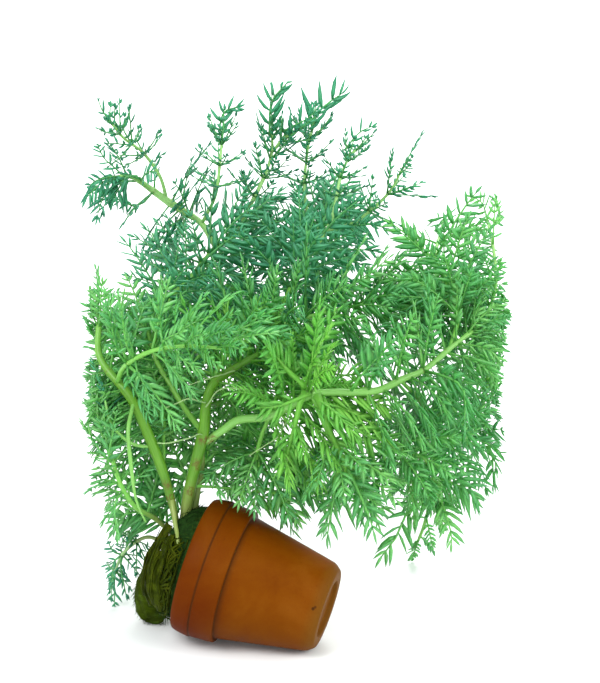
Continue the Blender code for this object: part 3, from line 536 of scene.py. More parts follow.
def tube_faces(rings, corners):
    """Quads between neighbouring rings, and a fan from each end ring to one of the two points after them."""
    ring, ahead = np.arange(corners), (np.arange(corners) + 1) % corners
    base = np.arange(rings - 1)[:, None] * corners
    quads = np.stack([base + ring, base + ahead, base + ahead + corners, base + ring + corners], axis=-1)
    last, start = (rings - 1) * corners, np.full(corners, rings * corners)
    fans = [np.stack([start, ahead, ring], axis=1), np.stack([start + 1, last + ring, last + ahead], axis=1)]
    return quads.reshape(-1, 4), np.concatenate(fans)


def swept(centres, sides, widths, depths, corners):
    """Skins of many rods at once, each carried along its own path.

    A ring stands at each station: centre + side * width * cos(turn) + up * depth * sin(turn), where up is
    square to the path and the side. A ring of three has one corner up, as a keel.
    """
    count, stations = centres.shape[:2]
    ups = np.cross(directions(centres), sides)
    turns = circle(corners) + (math.pi / 2 if corners == 3 else 0)
    rings = (centres[:, :, None]
             + sides[:, :, None] * (widths[..., None] * np.cos(turns))[..., None]
             + ups[:, :, None] * (depths[..., None] * np.sin(turns))[..., None])
    points = np.concatenate([rings.reshape(count, -1, 3), centres[:, :1], centres[:, -1:]], axis=1)
    shift = (np.arange(count) * points.shape[1])[:, None, None]
    quads, fans = ((faces + shift).reshape(-1, faces.shape[1]) for faces in tube_faces(stations, corners))
    return points.reshape(-1, 3), quads, fans


def for_rings(values, corners):
    """One value for each point that swept makes, from one for each station."""
    spread = np.repeat(values, corners, axis=1)
    return np.concatenate([spread, values[:, :1], values[:, -1:]], axis=1).ravel()


def turned(profile, segments, wave):
    """Points and faces of a profile of (along, radius) turned about X; both of its ends lie on the axis.

    A point is (along, radius * sin(turn), -radius * cos(turn)), and wave then moves all points.
    """
    turns = circle(segments, 0.5)
    around = np.stack([np.zeros(segments), np.sin(turns), -np.cos(turns)], axis=1)
    along = np.array((1.0, 0, 0))
    points = profile[1:-1, None, :1] * along + profile[1:-1, None, 1:] * around
    points = np.vstack([points.reshape(-1, 3), profile[[0, -1], :1] * along])
    return wave(points), *tube_faces(len(profile) - 2, segments)


def rounded(corners, steps=5):
    """A section whose corners (along, radius, cut) are rounded: a quadratic curve between two cut points."""
    corners = np.array(corners, float)
    spots, cuts = corners[:, :2], corners[:, 2:]
    before, after = unit(spots[:-2] - spots[1:-1]), unit(spots[2:] - spots[1:-1])
    share = np.linspace(0, 1, steps)[None, :, None]
    here, cut = spots[1:-1, None], cuts[1:-1, None]
    start, end = here + before[:, None] * cut, here + after[:, None] * cut
    curve = start * (1 - share) ** 2 + 2 * here * share * (1 - share) + end * share ** 2
    return np.vstack([spots[:1], curve.reshape(-1, 2), spots[-1:]])


def spread_out(profile, longest):
    """The same section with extra points, so that no stretch of it is longer than this."""
    steps = np.maximum(1, np.ceil(np.linalg.norm(np.diff(profile, axis=0), axis=1) / longest)).astype(int)
    runs = [np.linspace(a, b, n, endpoint=False) for a, b, n in zip(profile, profile[1:], steps)]
    return np.vstack(runs + [profile[-1:]])


def inner_radius(along):
    """Inside radius of the pot at this distance from the mouth: a straight taper from lip to floor."""
    return float(np.interp(along, (0, INSIDE_END), (LIP_RADIUS - POT_WALL, FOOT_RADIUS - POT_WALL + 0.8)))


def outer_radius(along):
    """Outside radius of the pot at these distances from the mouth: collar, step and a straight taper."""
    return np.interp(along, (0, COLLAR_LENGTH, COLLAR_LENGTH + 0.5, POT_LENGTH),
                     (COLLAR_RADIUS, COLLAR_END_RADIUS, COLLAR_END_RADIUS - COLLAR_STEP, FOOT_RADIUS))


def pot_section():
    """The pot's section: up the inside, over the lip, down the collar and body, and under the foot.

    Each corner is (along, radius, cut), where the cut is how much of it rounding takes off each side.
    """
    ring_inner = FOOT_RADIUS - FOOT_CHAMFER - FOOT_RING
    recess = POT_LENGTH - FOOT_RECESS
    return (
        (INSIDE_END, 0.0, 0.0),
        (INSIDE_END, inner_radius(INSIDE_END), 1.0),
        (0.0, inner_radius(0.0), 1.3),
        (0.0, LIP_RADIUS - 0.5, 0.9),
        (2.2, LIP_RADIUS + 0.35, 0.6),
        (6.9, COLLAR_RADIUS, 0.5),
        (GROOVE_PLACE - 0.5, COLLAR_RADIUS - 0.08, 0.2),
        (GROOVE_PLACE, COLLAR_RADIUS - 0.50, 0.2),
        (GROOVE_PLACE + 0.5, COLLAR_RADIUS - 0.30, 0.2),
        (COLLAR_LENGTH, COLLAR_END_RADIUS, 0.6),
        (COLLAR_LENGTH + 0.3, COLLAR_END_RADIUS - COLLAR_STEP, 0.5),
        (POT_LENGTH - FOOT_CHAMFER - 0.8, FOOT_RADIUS + 0.2, 1.2),
        (POT_LENGTH, FOOT_RADIUS - FOOT_CHAMFER, 0.9),
        (POT_LENGTH, ring_inner, 0.6),
        (recess, ring_inner - 0.8, 0.6),
        (recess, 0.0, 0.0),
    )


def pot_placement():
    """The matrix that lays the pot on its collar and foot, with its foot towards the viewer's right."""
    rest_length = POT_LENGTH - FOOT_CHAMFER - COLLAR_LENGTH
    slope = math.atan2(COLLAR_END_RADIUS - FOOT_RADIUS, rest_length)
    foot_height = (FOOT_RADIUS * math.cos(slope) - FOOT_CHAMFER * math.sin(slope)) * CAD_FLAT
    axis = Vector((math.cos(POT_TURN), -math.sin(POT_TURN), -math.tan(slope))).normalized()
    side = Vector((0, 0, 1)).cross(axis).normalized()
    turn = Matrix((axis, side, axis.cross(side))).transposed().to_4x4()
    return Matrix.Translation(Vector((*FOOT_CENTRE, foot_height)) - axis * POT_LENGTH) @ turn


PLACEMENT = np.array(pot_placement())
LAY, MOUTH = PLACEMENT[:3, :3].T, PLACEMENT[:3, 3]


def laid(points):
    """Points given along the pot's axis, moved to where the pot lies."""
    return points @ LAY + MOUTH


def in_pot(points):
    """True for each point that is inside the pot's outer surface, or closer to it than a millimetre."""
    along, across, up = np.moveaxis((points - MOUTH) @ LAY.T, -1, 0)
    return (along > -1) & (along < POT_LENGTH + 1) & (np.hypot(across, up) < outer_radius(along) + 1)


def seen(points):
    """Where points lie in a picture taken at the camera's elevation: across and up, and how deep in."""
    up, away = math.sin(CAMERA_ELEVATION), math.cos(CAMERA_ELEVATION)
    flat = np.stack([points[..., 0], points[..., 2] * away + points[..., 1] * up], axis=-1)
    return flat, points[..., 1] * away - points[..., 2] * up


def over_pot(points):
    """True for each point that would hide the pot from the front, further in than its edge."""
    along = np.linspace(0, POT_LENGTH, 13)
    axis_flat, axis_depth = seen(laid(along[:, None] * np.array((1.0, 0, 0))))
    flat, depth = seen(points)
    apart = np.linalg.norm(flat[..., None, :] - axis_flat, axis=-1)
    return ((apart < outer_radius(along) - POT_OVERLAP) & (depth[..., None] < axis_depth)).any(axis=-1)


class Stem:
    """The centre line of a shoot with its radius and the places of its whorls."""

    def __init__(self, order):
        self.shoot, self.order = SHOOTS[order], order
        self.line, self.length = smooth_route(self.shoot.route)
        self.tangents = directions(self.line)
        self.sides = carried(self.tangents, np.cross(self.tangents[0], (0.0, 0.3, 1.0)))
        self.whorls = np.arange(self.shoot.leafy * self.length, self.length - TIP_ROOM, self.shoot.pitch)
        self.lush = self.shoot.leaf > SMALL_LEAF
        self.sparse = SPARSE.get(self.shoot.name, NOT_SPARSE)

    def at(self, travelled):
        """Centres, tangents, side vectors and radii at these lengths along the stem."""
        share = np.asarray(travelled) / self.length
        place = np.clip(share, 0, 1) * (len(self.line) - 1)
        low = np.minimum(place.astype(int), len(self.line) - 2)
        part = (place - low)[..., None]
        centres = self.line[low] * (1 - part) + self.line[low + 1] * part
        return centres, self.tangents[low], self.sides[low], np.interp(share, (0, 0.45, 1), self.shoot.radii)


class Midribs(NamedTuple):
    """Midribs of comb leaves as whole arrays, one row for each leaf, and what their leaflets need."""

    shares: np.ndarray  # how far along each station is
    points: np.ndarray
    tangents: np.ndarray
    sides: np.ndarray
    lengths: np.ndarray  # of the leaves
    shades: np.ndarray  # from 0, dark, to 1, fresh; it also holds painted light and shade
    seed: int
    pairs: int  # of leaflets
    hang: float
    stalk: float = LEAF_STALK
    stout: float = 1.0


class Leaves:
    """Comb leaves of one group, as whole arrays: one row for each leaf."""

    def __init__(self, droop, starts, headings, across, lengths, numbers):
        self.droop, self.starts, self.headings, self.across = droop, starts, unit(headings), across
        self.lengths, self.numbers = lengths, numbers

    def kept(self, keep):
        """The leaves that the mask keeps."""
        rows = (self.starts, self.headings, self.across, self.lengths, self.numbers)
        return Leaves(self.droop, *(row[keep] for row in rows))

    def walked(self):
        """Points, tangents and sides of all midribs; each step bends down, and aside past the limit."""
        place, heading = self.starts, self.headings
        points, tangents = [place], [heading]
        for step in np.diff(MIDRIB_SHARES):
            heading = unit(heading - np.array((0, 0, self.droop / (2 * SOLID_STEPS))))
            reach = np.linalg.norm(place[:, :2], axis=1, keepdims=True)
            outer = place[:, :2] / reach
            outward = (heading[:, :2] * outer).sum(axis=1, keepdims=True)
            aside = (reach > SPREAD_RADIUS + SPREAD_SLOPE * place[:, 2:]) & (outward > 0)
            heading = unit(np.hstack([heading[:, :2] - outer * outward * 0.5 * aside, heading[:, 2:]]))
            place = place + heading * (self.lengths * step)[:, None]
            points.append(place)
            tangents.append(heading)
        points, tangents = np.stack(points, axis=1), np.stack(tangents, axis=1)
        return points, tangents, carried(tangents, self.across)

    def fitted(self):
        """Shortens each leaf that would leave the box, cut the pot or reach the floor, or drops it."""
        for _ in range(FIT_TRIES):
            points, _, sides = self.walked()
            spread = (self.lengths * PROBE_SHARE)[:, None, None] * sides[:, 4:-2]
            probes = np.concatenate([points, points[:, 4:-2] + spread, points[:, 4:-2] - spread], axis=1)
            out = ((probes < LOW + BOX_ROOM) | (probes > HIGH - BOX_ROOM)).any(axis=(1, 2))
            out |= (probes[..., 2] < FLOOR_ROOM).any(axis=1) | in_pot(probes[:, 1:]).any(axis=1)
            out |= over_pot(probes[:, 4:]).any(axis=1)
            self.lengths = np.where(out, self.lengths * SHORTER, self.lengths)
        return self.kept(~out)

    def combed(self, bare):
        """Leaves out each leaf that would hide a bare stem from the front; bare holds points and radii."""
        flat, depth = seen(self.walked()[0][:, 2:])
        bare_flat, bare_depth = seen(bare[:, :3])
        apart = np.linalg.norm(flat[:, :, None] - bare_flat, axis=-1)
        hides = (apart < bare[:, 3] + COMB_ROOM) & (depth[:, :, None] < bare_depth - bare[:, 3])
        return self.kept(~hides.any(axis=(1, 2)))


def comb_leaves(skin, look, ribs):
    """Adds keeled midribs, which narrow to their tips, and their leaflets."""
    half = slice(None, None, 2)
    stations = ribs.shares[half]
    taper = np.interp(stations, (0, 0.2, 0.8, 1), (1.2, 0.9, 0.6, 0.35))
    size = np.clip(ribs.lengths / FULL_LEAF, 0.68, 1.15)[:, None]
    widths = look.midrib_width / MM / 2 * taper * size * ribs.stout
    tone = np.repeat(ribs.shades[:, None], len(stations), axis=1)
    skin.add(*swept(ribs.points[:, half], ribs.sides[:, half], widths, widths * 0.8, 3), kind=1,
             tone=for_rings(tone, 3), along=0.15, vein=ribs.stout)
    leaflets(skin, look, ribs)


def leaflets(skin, look, ribs):
    """Adds all leaflets of these leaves at once.

    Each runs out to the side and forward, bends forward and down, and is widest before its middle. Its
    points are held inside the part's box, and one that would enter the pot is left out.
    """
    count = len(ribs.points)
    draw = np.random.default_rng(1000 + ribs.seed)
    spots = np.linspace(ribs.stalk, 0.92, ribs.pairs)
    jitter = draw.uniform(-0.28, 0.28, (count, ribs.pairs, 2)) * (spots[1] - spots[0])
    share = np.clip(spots[None, :, None] + jitter, 0.04, 0.97)
    share = np.concatenate([share.reshape(count, -1), np.full((count, 1), 0.985)], axis=1)
    signs = np.concatenate([np.tile((1.0, -1.0), ribs.pairs), [0.0]])  # of the sides, and 0 for the tip

    def drawn(low, high):
        """A chance value for each leaflet."""
        return draw.uniform(low, high, share.shape)

    place = np.interp(share, ribs.shares, np.arange(len(ribs.shares)))
    low = np.minimum(place.astype(int), len(ribs.shares) - 2)
    part = (place - low)[..., None]
    row = np.arange(count)[:, None]
    root = ribs.points[row, low] * (1 - part) + ribs.points[row, low + 1] * part
    heading, side = ribs.tangents[row, low], ribs.sides[row, low]
    normal = np.cross(heading, side)
    blade = (share - ribs.stalk) / (1 - ribs.stalk)
    reach = ribs.lengths[:, None] * LEAFLET_SHARE * np.sin(math.pi * (0.30 + 0.56 * np.clip(blade, 0, 1)))
    reach = reach * look.leaflet_reach * drawn(0.82, 1.14)
    lean = np.radians(np.interp(share, (0.2, 1), (30, 52)) + drawn(-8, 8))
    lean = np.where(signs == 0, np.radians(90), lean)[..., None]
    turn = np.where(signs == 0, 1.0, signs)[:, None]
    out = unit(swung(side * turn, heading, lean) + normal * drawn(-0.22, 0.22)[..., None])
    bend = heading * 0.20 + np.array((0, 0, -ribs.hang)) + normal * drawn(-0.1, 0.1)[..., None]
    steps = LEAFLET_STEPS[:, None]
    travelled = steps * reach[..., None, None]
    path = root[..., None, :] + out[..., None, :] * travelled + bend[..., None, :] * travelled * steps
    path = np.clip(path, LOW + EDGE_ROOM, HIGH - EDGE_ROOM)
    flat = unit(swung(np.cross(normal, out), normal, drawn(-0.6, 0.6)[..., None]))
    size = np.clip(reach / FULL_LEAFLET, 0.62, 1.15) * drawn(0.88, 1.12)
    tone = ribs.shades[:, None] + drawn(-0.09, 0.09)
    free = ~in_pot(path).any(axis=-1)
    path, flat, size, tone = path[free], flat[free], size[free][:, None], tone[free][:, None]
    sides = carried(directions(path), flat)
    widths = look.leaflet_width / MM / 2 * size * LEAFLET_WIDTHS
    skin.add(*swept(path, sides, widths, np.minimum(widths * 0.5, LEAFLET_THICKNESS), 3), kind=1,
             tone=for_rings(np.repeat(tone, len(steps), axis=1), 3),
             along=for_rings(np.repeat(LEAFLET_STEPS[None], len(path), axis=0), 3), vein=0.0)


def traced_leaf(skin, look, name, leaf, order):
    """Adds one leaf of this shoot: its midrib is a smooth curve through its own points."""
    line, _ = smooth_route(leaf.route, TRACED_STATIONS)
    line = np.clip(line, LOW + BOX_ROOM, HIGH - BOX_ROOM)[None]
    tangents = directions(line)
    sides = carried(tangents, np.cross(tangents[:, 0], (0.15, -1.0, 0.25)))
    # the tone holds the shoot's painted light and shade
    length, shade = leaf.reach / LEAFLET_SHARE, TRACED_SHADE + PAINTED_LIGHT_AND_SHADE.get(name, 0.0)
    comb_leaves(skin, look, Midribs(
        np.linspace(0, 1, TRACED_STATIONS), line, tangents, sides, np.array([length]), np.array([shade]),
        TRACED_NUMBERS + order, leaf.pairs, leaf.hang, leaf.stalk, leaf.stout))


def usual_length(number):
    """Length of a leaf as a share of what is usual on its shoot."""
    return 0.92 + wobble(number + 3, 0.16)


def whorl_leaves(stem, between=0):
    """The leaves of all whorls: six around the stem, each out from it and rising more towards the tip.

    With between at 1, these are the younger whorls that stand midway, turned by half a step.
    """
    whorl, side = (grid.ravel() for grid in np.indices((len(stem.whorls), STEM_SIDES)))
    centres, tangents, sides, radii = stem.at(stem.whorls[whorl] + between * stem.shoot.pitch / 2)
    turns = (side + 1 + between / 2) * TURN / STEM_SIDES
    outward = swung(sides, np.cross(tangents, sides), turns[:, None])
    across = np.cross(tangents, outward)
    number = stem.order * SHOOT_NUMBERS + whorl * STEM_SIDES + side + between * YOUNGER_NUMBERS
    share = (whorl + 1) / max(1, len(stem.whorls))
    rise = np.radians(8 + 40 * share ** 2 + wobble(number, 9))[:, None]
    headings = swung(outward, tangents, rise) + across * wobble(number + 11, 0.25)[:, None]
    lengths = stem.shoot.leaf * usual_length(number) * (1 - 0.12 * between)
    share = stem.whorls[whorl] / stem.length
    low, high, count, reach = stem.sparse
    sparse, main = (share >= low) & (share <= high), side % 3 == whorl % 3
    lengths = lengths * np.where(sparse & (~main | (count < STEM_SIDES)), reach, 1.0)
    # on a thin stretch a whorl keeps all its leaves or two opposite ones, and no younger whorl follows
    keep = ~sparse | ((between == 0) & (main | (count == STEM_SIDES)))
    starts = centres + outward * (radii * 0.6)[:, None]
    return Leaves(stem.shoot.droop, starts, headings, across, lengths, number).kept(keep)


def tip_leaves(stem, young):
    """One leaf that carries the stem on, and a bunch of short young ones around it."""
    side, tangent = stem.at(np.array([stem.length]))[2][0], stem.tangents[-1]
    up = np.cross(tangent, side)
    outward = swung(side, up, (np.arange(young) * TIP_TURN)[:, None])
    rise = np.radians(np.linspace(38, 74, young))[:, None]
    headings = np.vstack([tangent[None], swung(outward, tangent, rise)])
    starts = stem.line[-1] - tangent * np.array((1, *np.linspace(3, 0.5, young)))[:, None]
    across = np.vstack([(up * 0.5 - side * 0.866)[None], np.cross(tangent, outward)])
    number = stem.order * SHOOT_NUMBERS - STEM_SIDES + np.arange(young + 1)
    lengths = np.array((usual_length(number[0]), *np.linspace(0.72, 0.4, young))) * stem.shoot.leaf
    if stem.sparse[1] == 1.0:  # a tip leaf with full whorls below it is as short as they are
        lengths[0 if stem.sparse[2] == STEM_SIDES else 1:] *= stem.sparse[3]
    return Leaves(stem.shoot.droop, starts, headings, across, lengths, number)


def leafy_shoot(skin, look, stem, bare):
    """Adds the leaves of the shoot that have room: whorls, the bunch at its tip and younger whorls."""
    shoot = stem.shoot
    bunch = look.young_leaves if stem.lush and stem.sparse[2] == STEM_SIDES else 2
    pairs = max(3, round(shoot.leaf * MM * LEAFY_SHARE / look.leaflet_spacing))
    groups = [whorl_leaves(stem), tip_leaves(stem, bunch)]
    if stem.lush:
        groups.append(whorl_leaves(stem, 1))
    for group in groups:
        grown = group.fitted().combed(bare)
        if not len(grown.lengths):
            continue
        share = np.linalg.norm(grown.starts - stem.line[0], axis=1) / stem.length
        # painted shade: leaves further back are darker, and each shoot's painted light and shade is added to
        # the tone
        far_off = np.clip((grown.starts[:, 1] - FRONT) / DEPTH, 0, 1)
        shades = 0.50 + 0.25 * share - 0.30 * far_off + wobble(grown.numbers + 5, 0.24)
        comb_leaves(skin, look, Midribs(
            MIDRIB_SHARES, *grown.walked(), grown.lengths, shades + PAINTED_LIGHT_AND_SHADE.get(shoot.name, 0.0),
            int(grown.numbers[0]), pairs, 0.30 * shoot.droop))


def stem_skin(skin, stem, look):
    """Adds the stem: a round rod that swells at each whorl, with the marks that its colour reads."""
    stations = max(12, int(stem.length / STATION_GAP))
    travelled = np.linspace(0, stem.length, stations)
    centres, _, sides, radii = stem.at(travelled)
    gaps = np.abs(travelled[:, None] - np.array([*stem.whorls, NO_WHORL]))
    radii = radii * (1 + JOINT_SWELL * np.exp(-(gaps / JOINT_LENGTH) ** 2).sum(axis=1))
    radii = radii * (1 + 0.05 * rumple(centres, 0.5, 40 + stem.order)) * look.stem_thickness
    radii[-1] *= TIP_ROUNDING
    corners = THICK_SIDES if max(stem.shoot.radii) > THICK_STEM else THIN_SIDES
    points, quads, fans = swept(centres[None], sides[None], radii[None], radii[None], corners)
    scar = np.zeros(len(points))
    for name, length, size in SCARS:
        if name == stem.shoot.name:
            centre, _, _, radius = stem.at(length)
            spot = centre + np.array((0.2, -1.0, 0.1)) * radius
            scar = np.maximum(scar, np.exp(-(np.linalg.norm(points - spot, axis=1) / size) ** 2))
    turns = np.tile(circle(corners), stations)
    around = np.stack([np.cos(turns), np.sin(turns)], axis=1) * np.repeat(radii, corners)[:, None]
    rod = np.column_stack([around, np.repeat(travelled, corners)])
    rod = np.vstack([rod, (0, 0, 0), (0, 0, stem.length)])
    node = np.exp(-(gaps / RING_LENGTH) ** 2).max(axis=1)[None]
    along = travelled[None] if stem.shoot.parent == "root_ball" else np.full((1, stations), FAR_ALONG)
    skin.add(points, quads, fans, rod=rod, scar=scar, node=for_rings(node, corners),
             along=for_rings(along, corners))


def rootlet(skin, swell, route, seed):
    """Adds a bare root along its route: a round rod that tapers and has small kinks."""
    line, _ = smooth_route(route, 26)
    line = (line + 0.25 * np.stack([rumple(line, 0.8, seed + k) for k in range(3)], axis=1))[None]
    sides = carried(directions(line), np.array((0.1, 0.2, 1.0)))
    radii = ROOTLET_RADIUS * swell * np.linspace(1.1, 0.6, line.shape[1])[None]
    kind, along = (2, 24.0) if swell == 1 else (0, 12.0)  # a thick stem foot has the stem's own skin
    skin.add(*swept(line, sides, radii, radii, 7), kind=kind, along=along)


def strips(skin, paths, facing, draw, low, high, kind):
    """Adds narrow withered strips along these paths: flat, lying square to facing with a chance roll."""
    tangents = directions(paths)
    roll = draw.uniform(-0.7, 0.7, (len(paths), 1))
    sides = carried(tangents, swung(unit(np.cross(tangents[:, 0], facing)), unit(facing), roll))
    swell = 0.35 + 0.65 * np.sin(math.pi * (0.12 + 0.80 * np.linspace(0, 1, paths.shape[1])))
    widths = draw.uniform(low, high, (len(paths), 1)) / 2 * swell
    skin.add(*swept(paths, sides, widths, np.minimum(widths * 0.6, 0.22), 3), kind=kind)


def strands(skin, starts, headings, lengths, width, seed, sag):
    """Adds thin tapered hairs: each runs out along its heading, wanders to one side and sags."""
    draw = np.random.default_rng(seed)
    wander = unit(draw.normal(size=headings.shape)) * 0.35 + np.array((0, 0, -sag))
    steps = HAIR_STEPS[:, None]
    travelled = steps * lengths[:, None, None]
    path = starts[:, None] + headings[:, None] * travelled + wander[:, None] * travelled * steps
    path[..., 2] = np.maximum(path[..., 2], 0.3)
    sides = carried(directions(path), unit(draw.normal(size=headings.shape)))
    widths = width / 2 * HAIR_WIDTHS * draw.uniform(0.7, 1.2, (len(starts), 1))
    skin.add(*swept(path, sides, widths, widths, 3), kind=1)


class Nodes:
    """Short ways to lay out a material's nodes, whose inputs take a value or another node's socket."""

    def __init__(self, name):
        self.material = bpy.data.materials.new(name)
        self.material.use_nodes = True
        self.tree = self.material.node_tree
        self.shader = self.tree.nodes["Principled BSDF"]

    def feed(self, socket, value):
        """Sets an input, or links it."""
        if isinstance(value, bpy.types.NodeSocket):
            self.tree.links.new(value, socket)
        else:
            socket.default_value = (*value[:3], 1) if socket.type == "RGBA" else value

    def add(self, kind, inputs=(), **settings):
        """A node of this kind with these settings and inputs."""
        node = self.tree.nodes.new("ShaderNode" + kind)
        for key, value in settings.items():
            setattr(node, key, value)
        for key, value in dict(inputs).items():
            self.feed(node.inputs[key], value)
        return node

    def place(self):
        """Coordinates on the piece, in metres."""
        return self.add("TexCoord").outputs["Object"]

    def attribute(self, name, output="Fac"):
        """A named value of the mesh."""
        return self.add("Attribute", attribute_name=name).outputs[output]

    def maths(self, operation, first, second):
        """Two values added or multiplied."""
        return self.add("Math", {0: first, 1: second}, operation=operation).outputs[0]

    def noise(self, where, scale, detail=4.0, rough=0.55, warp=0.0):
        """Cloudy noise of this many lumps to the unit."""
        return self.add("TexNoise", {"Vector": where, "Scale": scale, "Detail": detail, "Roughness": rough,
                                     "Distortion": warp}).outputs["Fac"]

    def ramp(self, value, stops, shades):
        """Colours at stops from 0 to 1."""
        node = self.add("ValToRGB", {"Fac": value})
        elements = node.color_ramp.elements
        for stop in stops[1:-1]:
            elements.new(stop)
        for element, stop, shade in zip(elements, stops, shades):
            element.position, element.color = stop, (*shade[:3], 1)
        return node.outputs["Color"]

    def mix(self, share, first, second):
        """Two colours mixed by a share."""
        return self.add("Mix", {0: share, 6: first, 7: second}, data_type="RGBA").outputs[2]

    def span(self, value, low, high, to_low=0.0, to_high=1.0):
        """A value moved from one range to another and held inside it."""
        return self.add("MapRange", {"Value": value, "From Min": low, "From Max": high, "To Min": to_low,
                                     "To Max": to_high}).outputs["Result"]

    def tint(self, base, shade, value, *spans):
        """Another colour mixed in, by a share that follows a value from one range to another."""
        return self.mix(self.span(value, *spans), base, shade)

    def bump(self, height, distance, strength):
        """Relief of this depth in metres."""
        node = self.add("Bump", {"Height": height, "Distance": distance, "Strength": strength})
        self.feed(self.shader.inputs["Normal"], node.outputs["Normal"])

    def finish(self, shade, roughness, specular):
        """Gives the shader its colour, roughness and sheen."""
        inputs = {"Base Color": shade, "Roughness": roughness, "Specular IOR Level": specular}
        for key, value in inputs.items():
            self.feed(self.shader.inputs[key], value)
        return self.material

    def let_light_through(self, shade, share):
        """Mixes in light that comes through from behind."""
        through = self.add("BsdfTranslucent", {"Color": shade})
        mixed = self.add("MixShader", {0: share, 1: self.shader.outputs[0], 2: through.outputs[0]})
        self.feed(self.tree.nodes["Material Output"].inputs["Surface"], mixed.outputs[0])
        return self.material


def three_shades(look, kind):
    """The dark, usual and light colour of one kind."""
    return [getattr(look, kind + suffix) for suffix in ("_dark", "", "_light")]


def terracotta(look):
    """Fired clay: cloudy orange brown, fine specks, two pits and a soft sheen. It is redder towards the lip,
    partly its own colour and partly painted shade, darker low on the collar and dark in the groove as
    painted shade, and paler at the foot as painted light.
    """
    nodes = Nodes("terracotta_clay")
    where = nodes.place()
    cloud = nodes.noise(where, 38, 5, 0.6, 0.4)
    base = nodes.ramp(cloud, (0.28, 0.50, 0.74), three_shades(look, "clay"))
    along = nodes.attribute("along")
    height = nodes.add("SeparateXYZ", {0: where}).outputs["Z"]
    # the clay at the lip is redder, partly its own colour and partly painted shade, and painted shade makes
    # it darker low down on the collar
    rim_and_shade = nodes.maths("MULTIPLY", nodes.span(along, 0.16, 0.46, 0.85, 0.0),
                          nodes.span(height, 0.012, 0.052, 1.0, 0.38))
    base = nodes.mix(rim_and_shade, base, look.clay_rim)
    # painted light: the foot end of the pot is paler
    base = nodes.tint(base, look.clay_foot, along, 0.90, 0.99, 0.0, 0.6)
    fine = nodes.noise(where, 900, 3, 0.7)
    base = nodes.tint(base, look.clay_dark, fine, 0.56, 0.70, 0, 0.3)
    base = nodes.tint(base, look.clay_speck, nodes.noise(where, 1500, 2, 0.5), 0.68, 0.76, 0, 0.4)
    # painted shade: a dark line in the collar's groove and under the collar's step
    base = nodes.tint(base, look.clay_speck, nodes.attribute("groove"), 0, 1, 0, 0.8)
    radius = FOOT_RADIUS + 0.2
    near, far = PIT_SIZE
    for turn, length in POT_PITS:
        spot = (laid(np.array((length, math.sin(turn) * radius, -math.cos(turn) * radius))) + SHIFT) * MM
        apart = nodes.add("VectorMath", {0: where, 1: spot.tolist()}, operation="DISTANCE").outputs["Value"]
        base = nodes.tint(base, look.clay_speck, apart, near * MM, far * MM, 0.95, 0)
    rough = nodes.span(cloud, 0.3, 0.7, 0.42, 0.58)
    nodes.bump(nodes.mix(0.5, fine, cloud), 0.00016, 0.7)
    return nodes.finish(base, rough, 0.025)


def leaf_material(name, greens, look):
    """Leaf skin: darker or fresher by the leaf's tone, which also holds painted light and shade, yellower
    along the midrib, dark at some tips.
    """
    nodes = Nodes(name)
    cloud = nodes.noise(nodes.place(), 300, 3)
    tone = nodes.maths("ADD", nodes.attribute("tone"), nodes.span(cloud, 0.3, 0.7, -0.10, 0.10))
    base = nodes.ramp(tone, (0.08, 0.5, 0.92), greens)
    base = nodes.tint(base, look.vein, nodes.attribute("vein"), 0, 2, 0, 0.9)
    base = nodes.tint(base, greens[0], nodes.attribute("along"), 0.55, 1.0, 0, 0.55)
    nodes.finish(base, 0.42, 0.4)
    return nodes.let_light_through(nodes.mix(0.5, base, greens[2]), look.light_through)


def stem_material(name, usual, light, look):
    """Stem skin: long streaks, brown rings and scars, and a foot that is pale near the root ball."""
    nodes = Nodes(name)
    rod = nodes.attribute("rod", "Vector")
    stretched = nodes.add("Mapping", {"Vector": rod, "Scale": (1.3, 1.3, 0.06)}).outputs[0]
    streak = nodes.noise(stretched, 1.6, 4, 0.6)
    base = nodes.ramp(streak, (0.30, 0.70), (usual, light))
    base = nodes.tint(base, look.foot, nodes.attribute("along"), 9, 30, 0.85, 0)
    # paler towards the top: partly young growth, partly painted light where leaves above shade the stem
    base = nodes.tint(base, look.thin_light, nodes.attribute("along"), 80, 105, 0, 0.6)
    patch = nodes.noise(rod, 0.55, 5, 0.75, 0.8)
    ring = nodes.maths("MULTIPLY", nodes.attribute("node"), nodes.span(patch, 0.35, 0.6, 0.2, 1.0))
    base = nodes.tint(base, look.node_ring, ring, 0.35, 0.9, 0, 0.6)
    scar = nodes.maths("MULTIPLY", nodes.attribute("scar"), nodes.span(patch, 0.40, 0.62, 0.0, 1.9))
    base = nodes.tint(base, look.scar, scar, 0.20, 0.9, 0, 0.8)
    nodes.bump(streak, 0.00012, 0.6)
    nodes.finish(base, 0.38, 0.4)
    return nodes.let_light_through(light, 0.12)


def fibre_material(name, colours, scale, roughness=0.8):
    """Matted fibre: patches of three colours and a rough felted relief."""
    nodes = Nodes(name)
    where = nodes.place()
    patch = nodes.noise(where, scale, 6, 0.65, 1.2)
    base = nodes.ramp(patch, (0.30, 0.52, 0.74), colours)
    fine = nodes.noise(where, scale * 12, 4, 0.7)
    base = nodes.tint(base, colours[0], fine, 0.3, 0.6, 0.6, 0)
    nodes.bump(fine, 0.0006, 0.9)
    return nodes.finish(base, roughness, 0.04)


def colour(name, value, words):
    """A colour that the panel shows."""
    return FloatVectorProperty(name=name, description=words, default=value, subtype="COLOR", min=0, max=1)


def metres(name, value, low, high, words):
    """A length in metres that the panel shows."""
    return FloatProperty(name=name, description=words, default=value, min=low, max=high, unit="LENGTH")


def fraction(name, value, low, high, words):
    """A share that the panel shows."""
    return FloatProperty(name=name, description=words, default=value, min=low, max=high, subtype="FACTOR")


def watts(name, value, words):
    """The strength of a light, in watts, that the panel shows."""
    return FloatProperty(name=name, description=words, default=value, min=0, unit="POWER")


def whole(name, value, low, high, words):
    """A whole number that the panel shows."""
    return IntProperty(name=name, description=words, default=value, min=low, max=high)


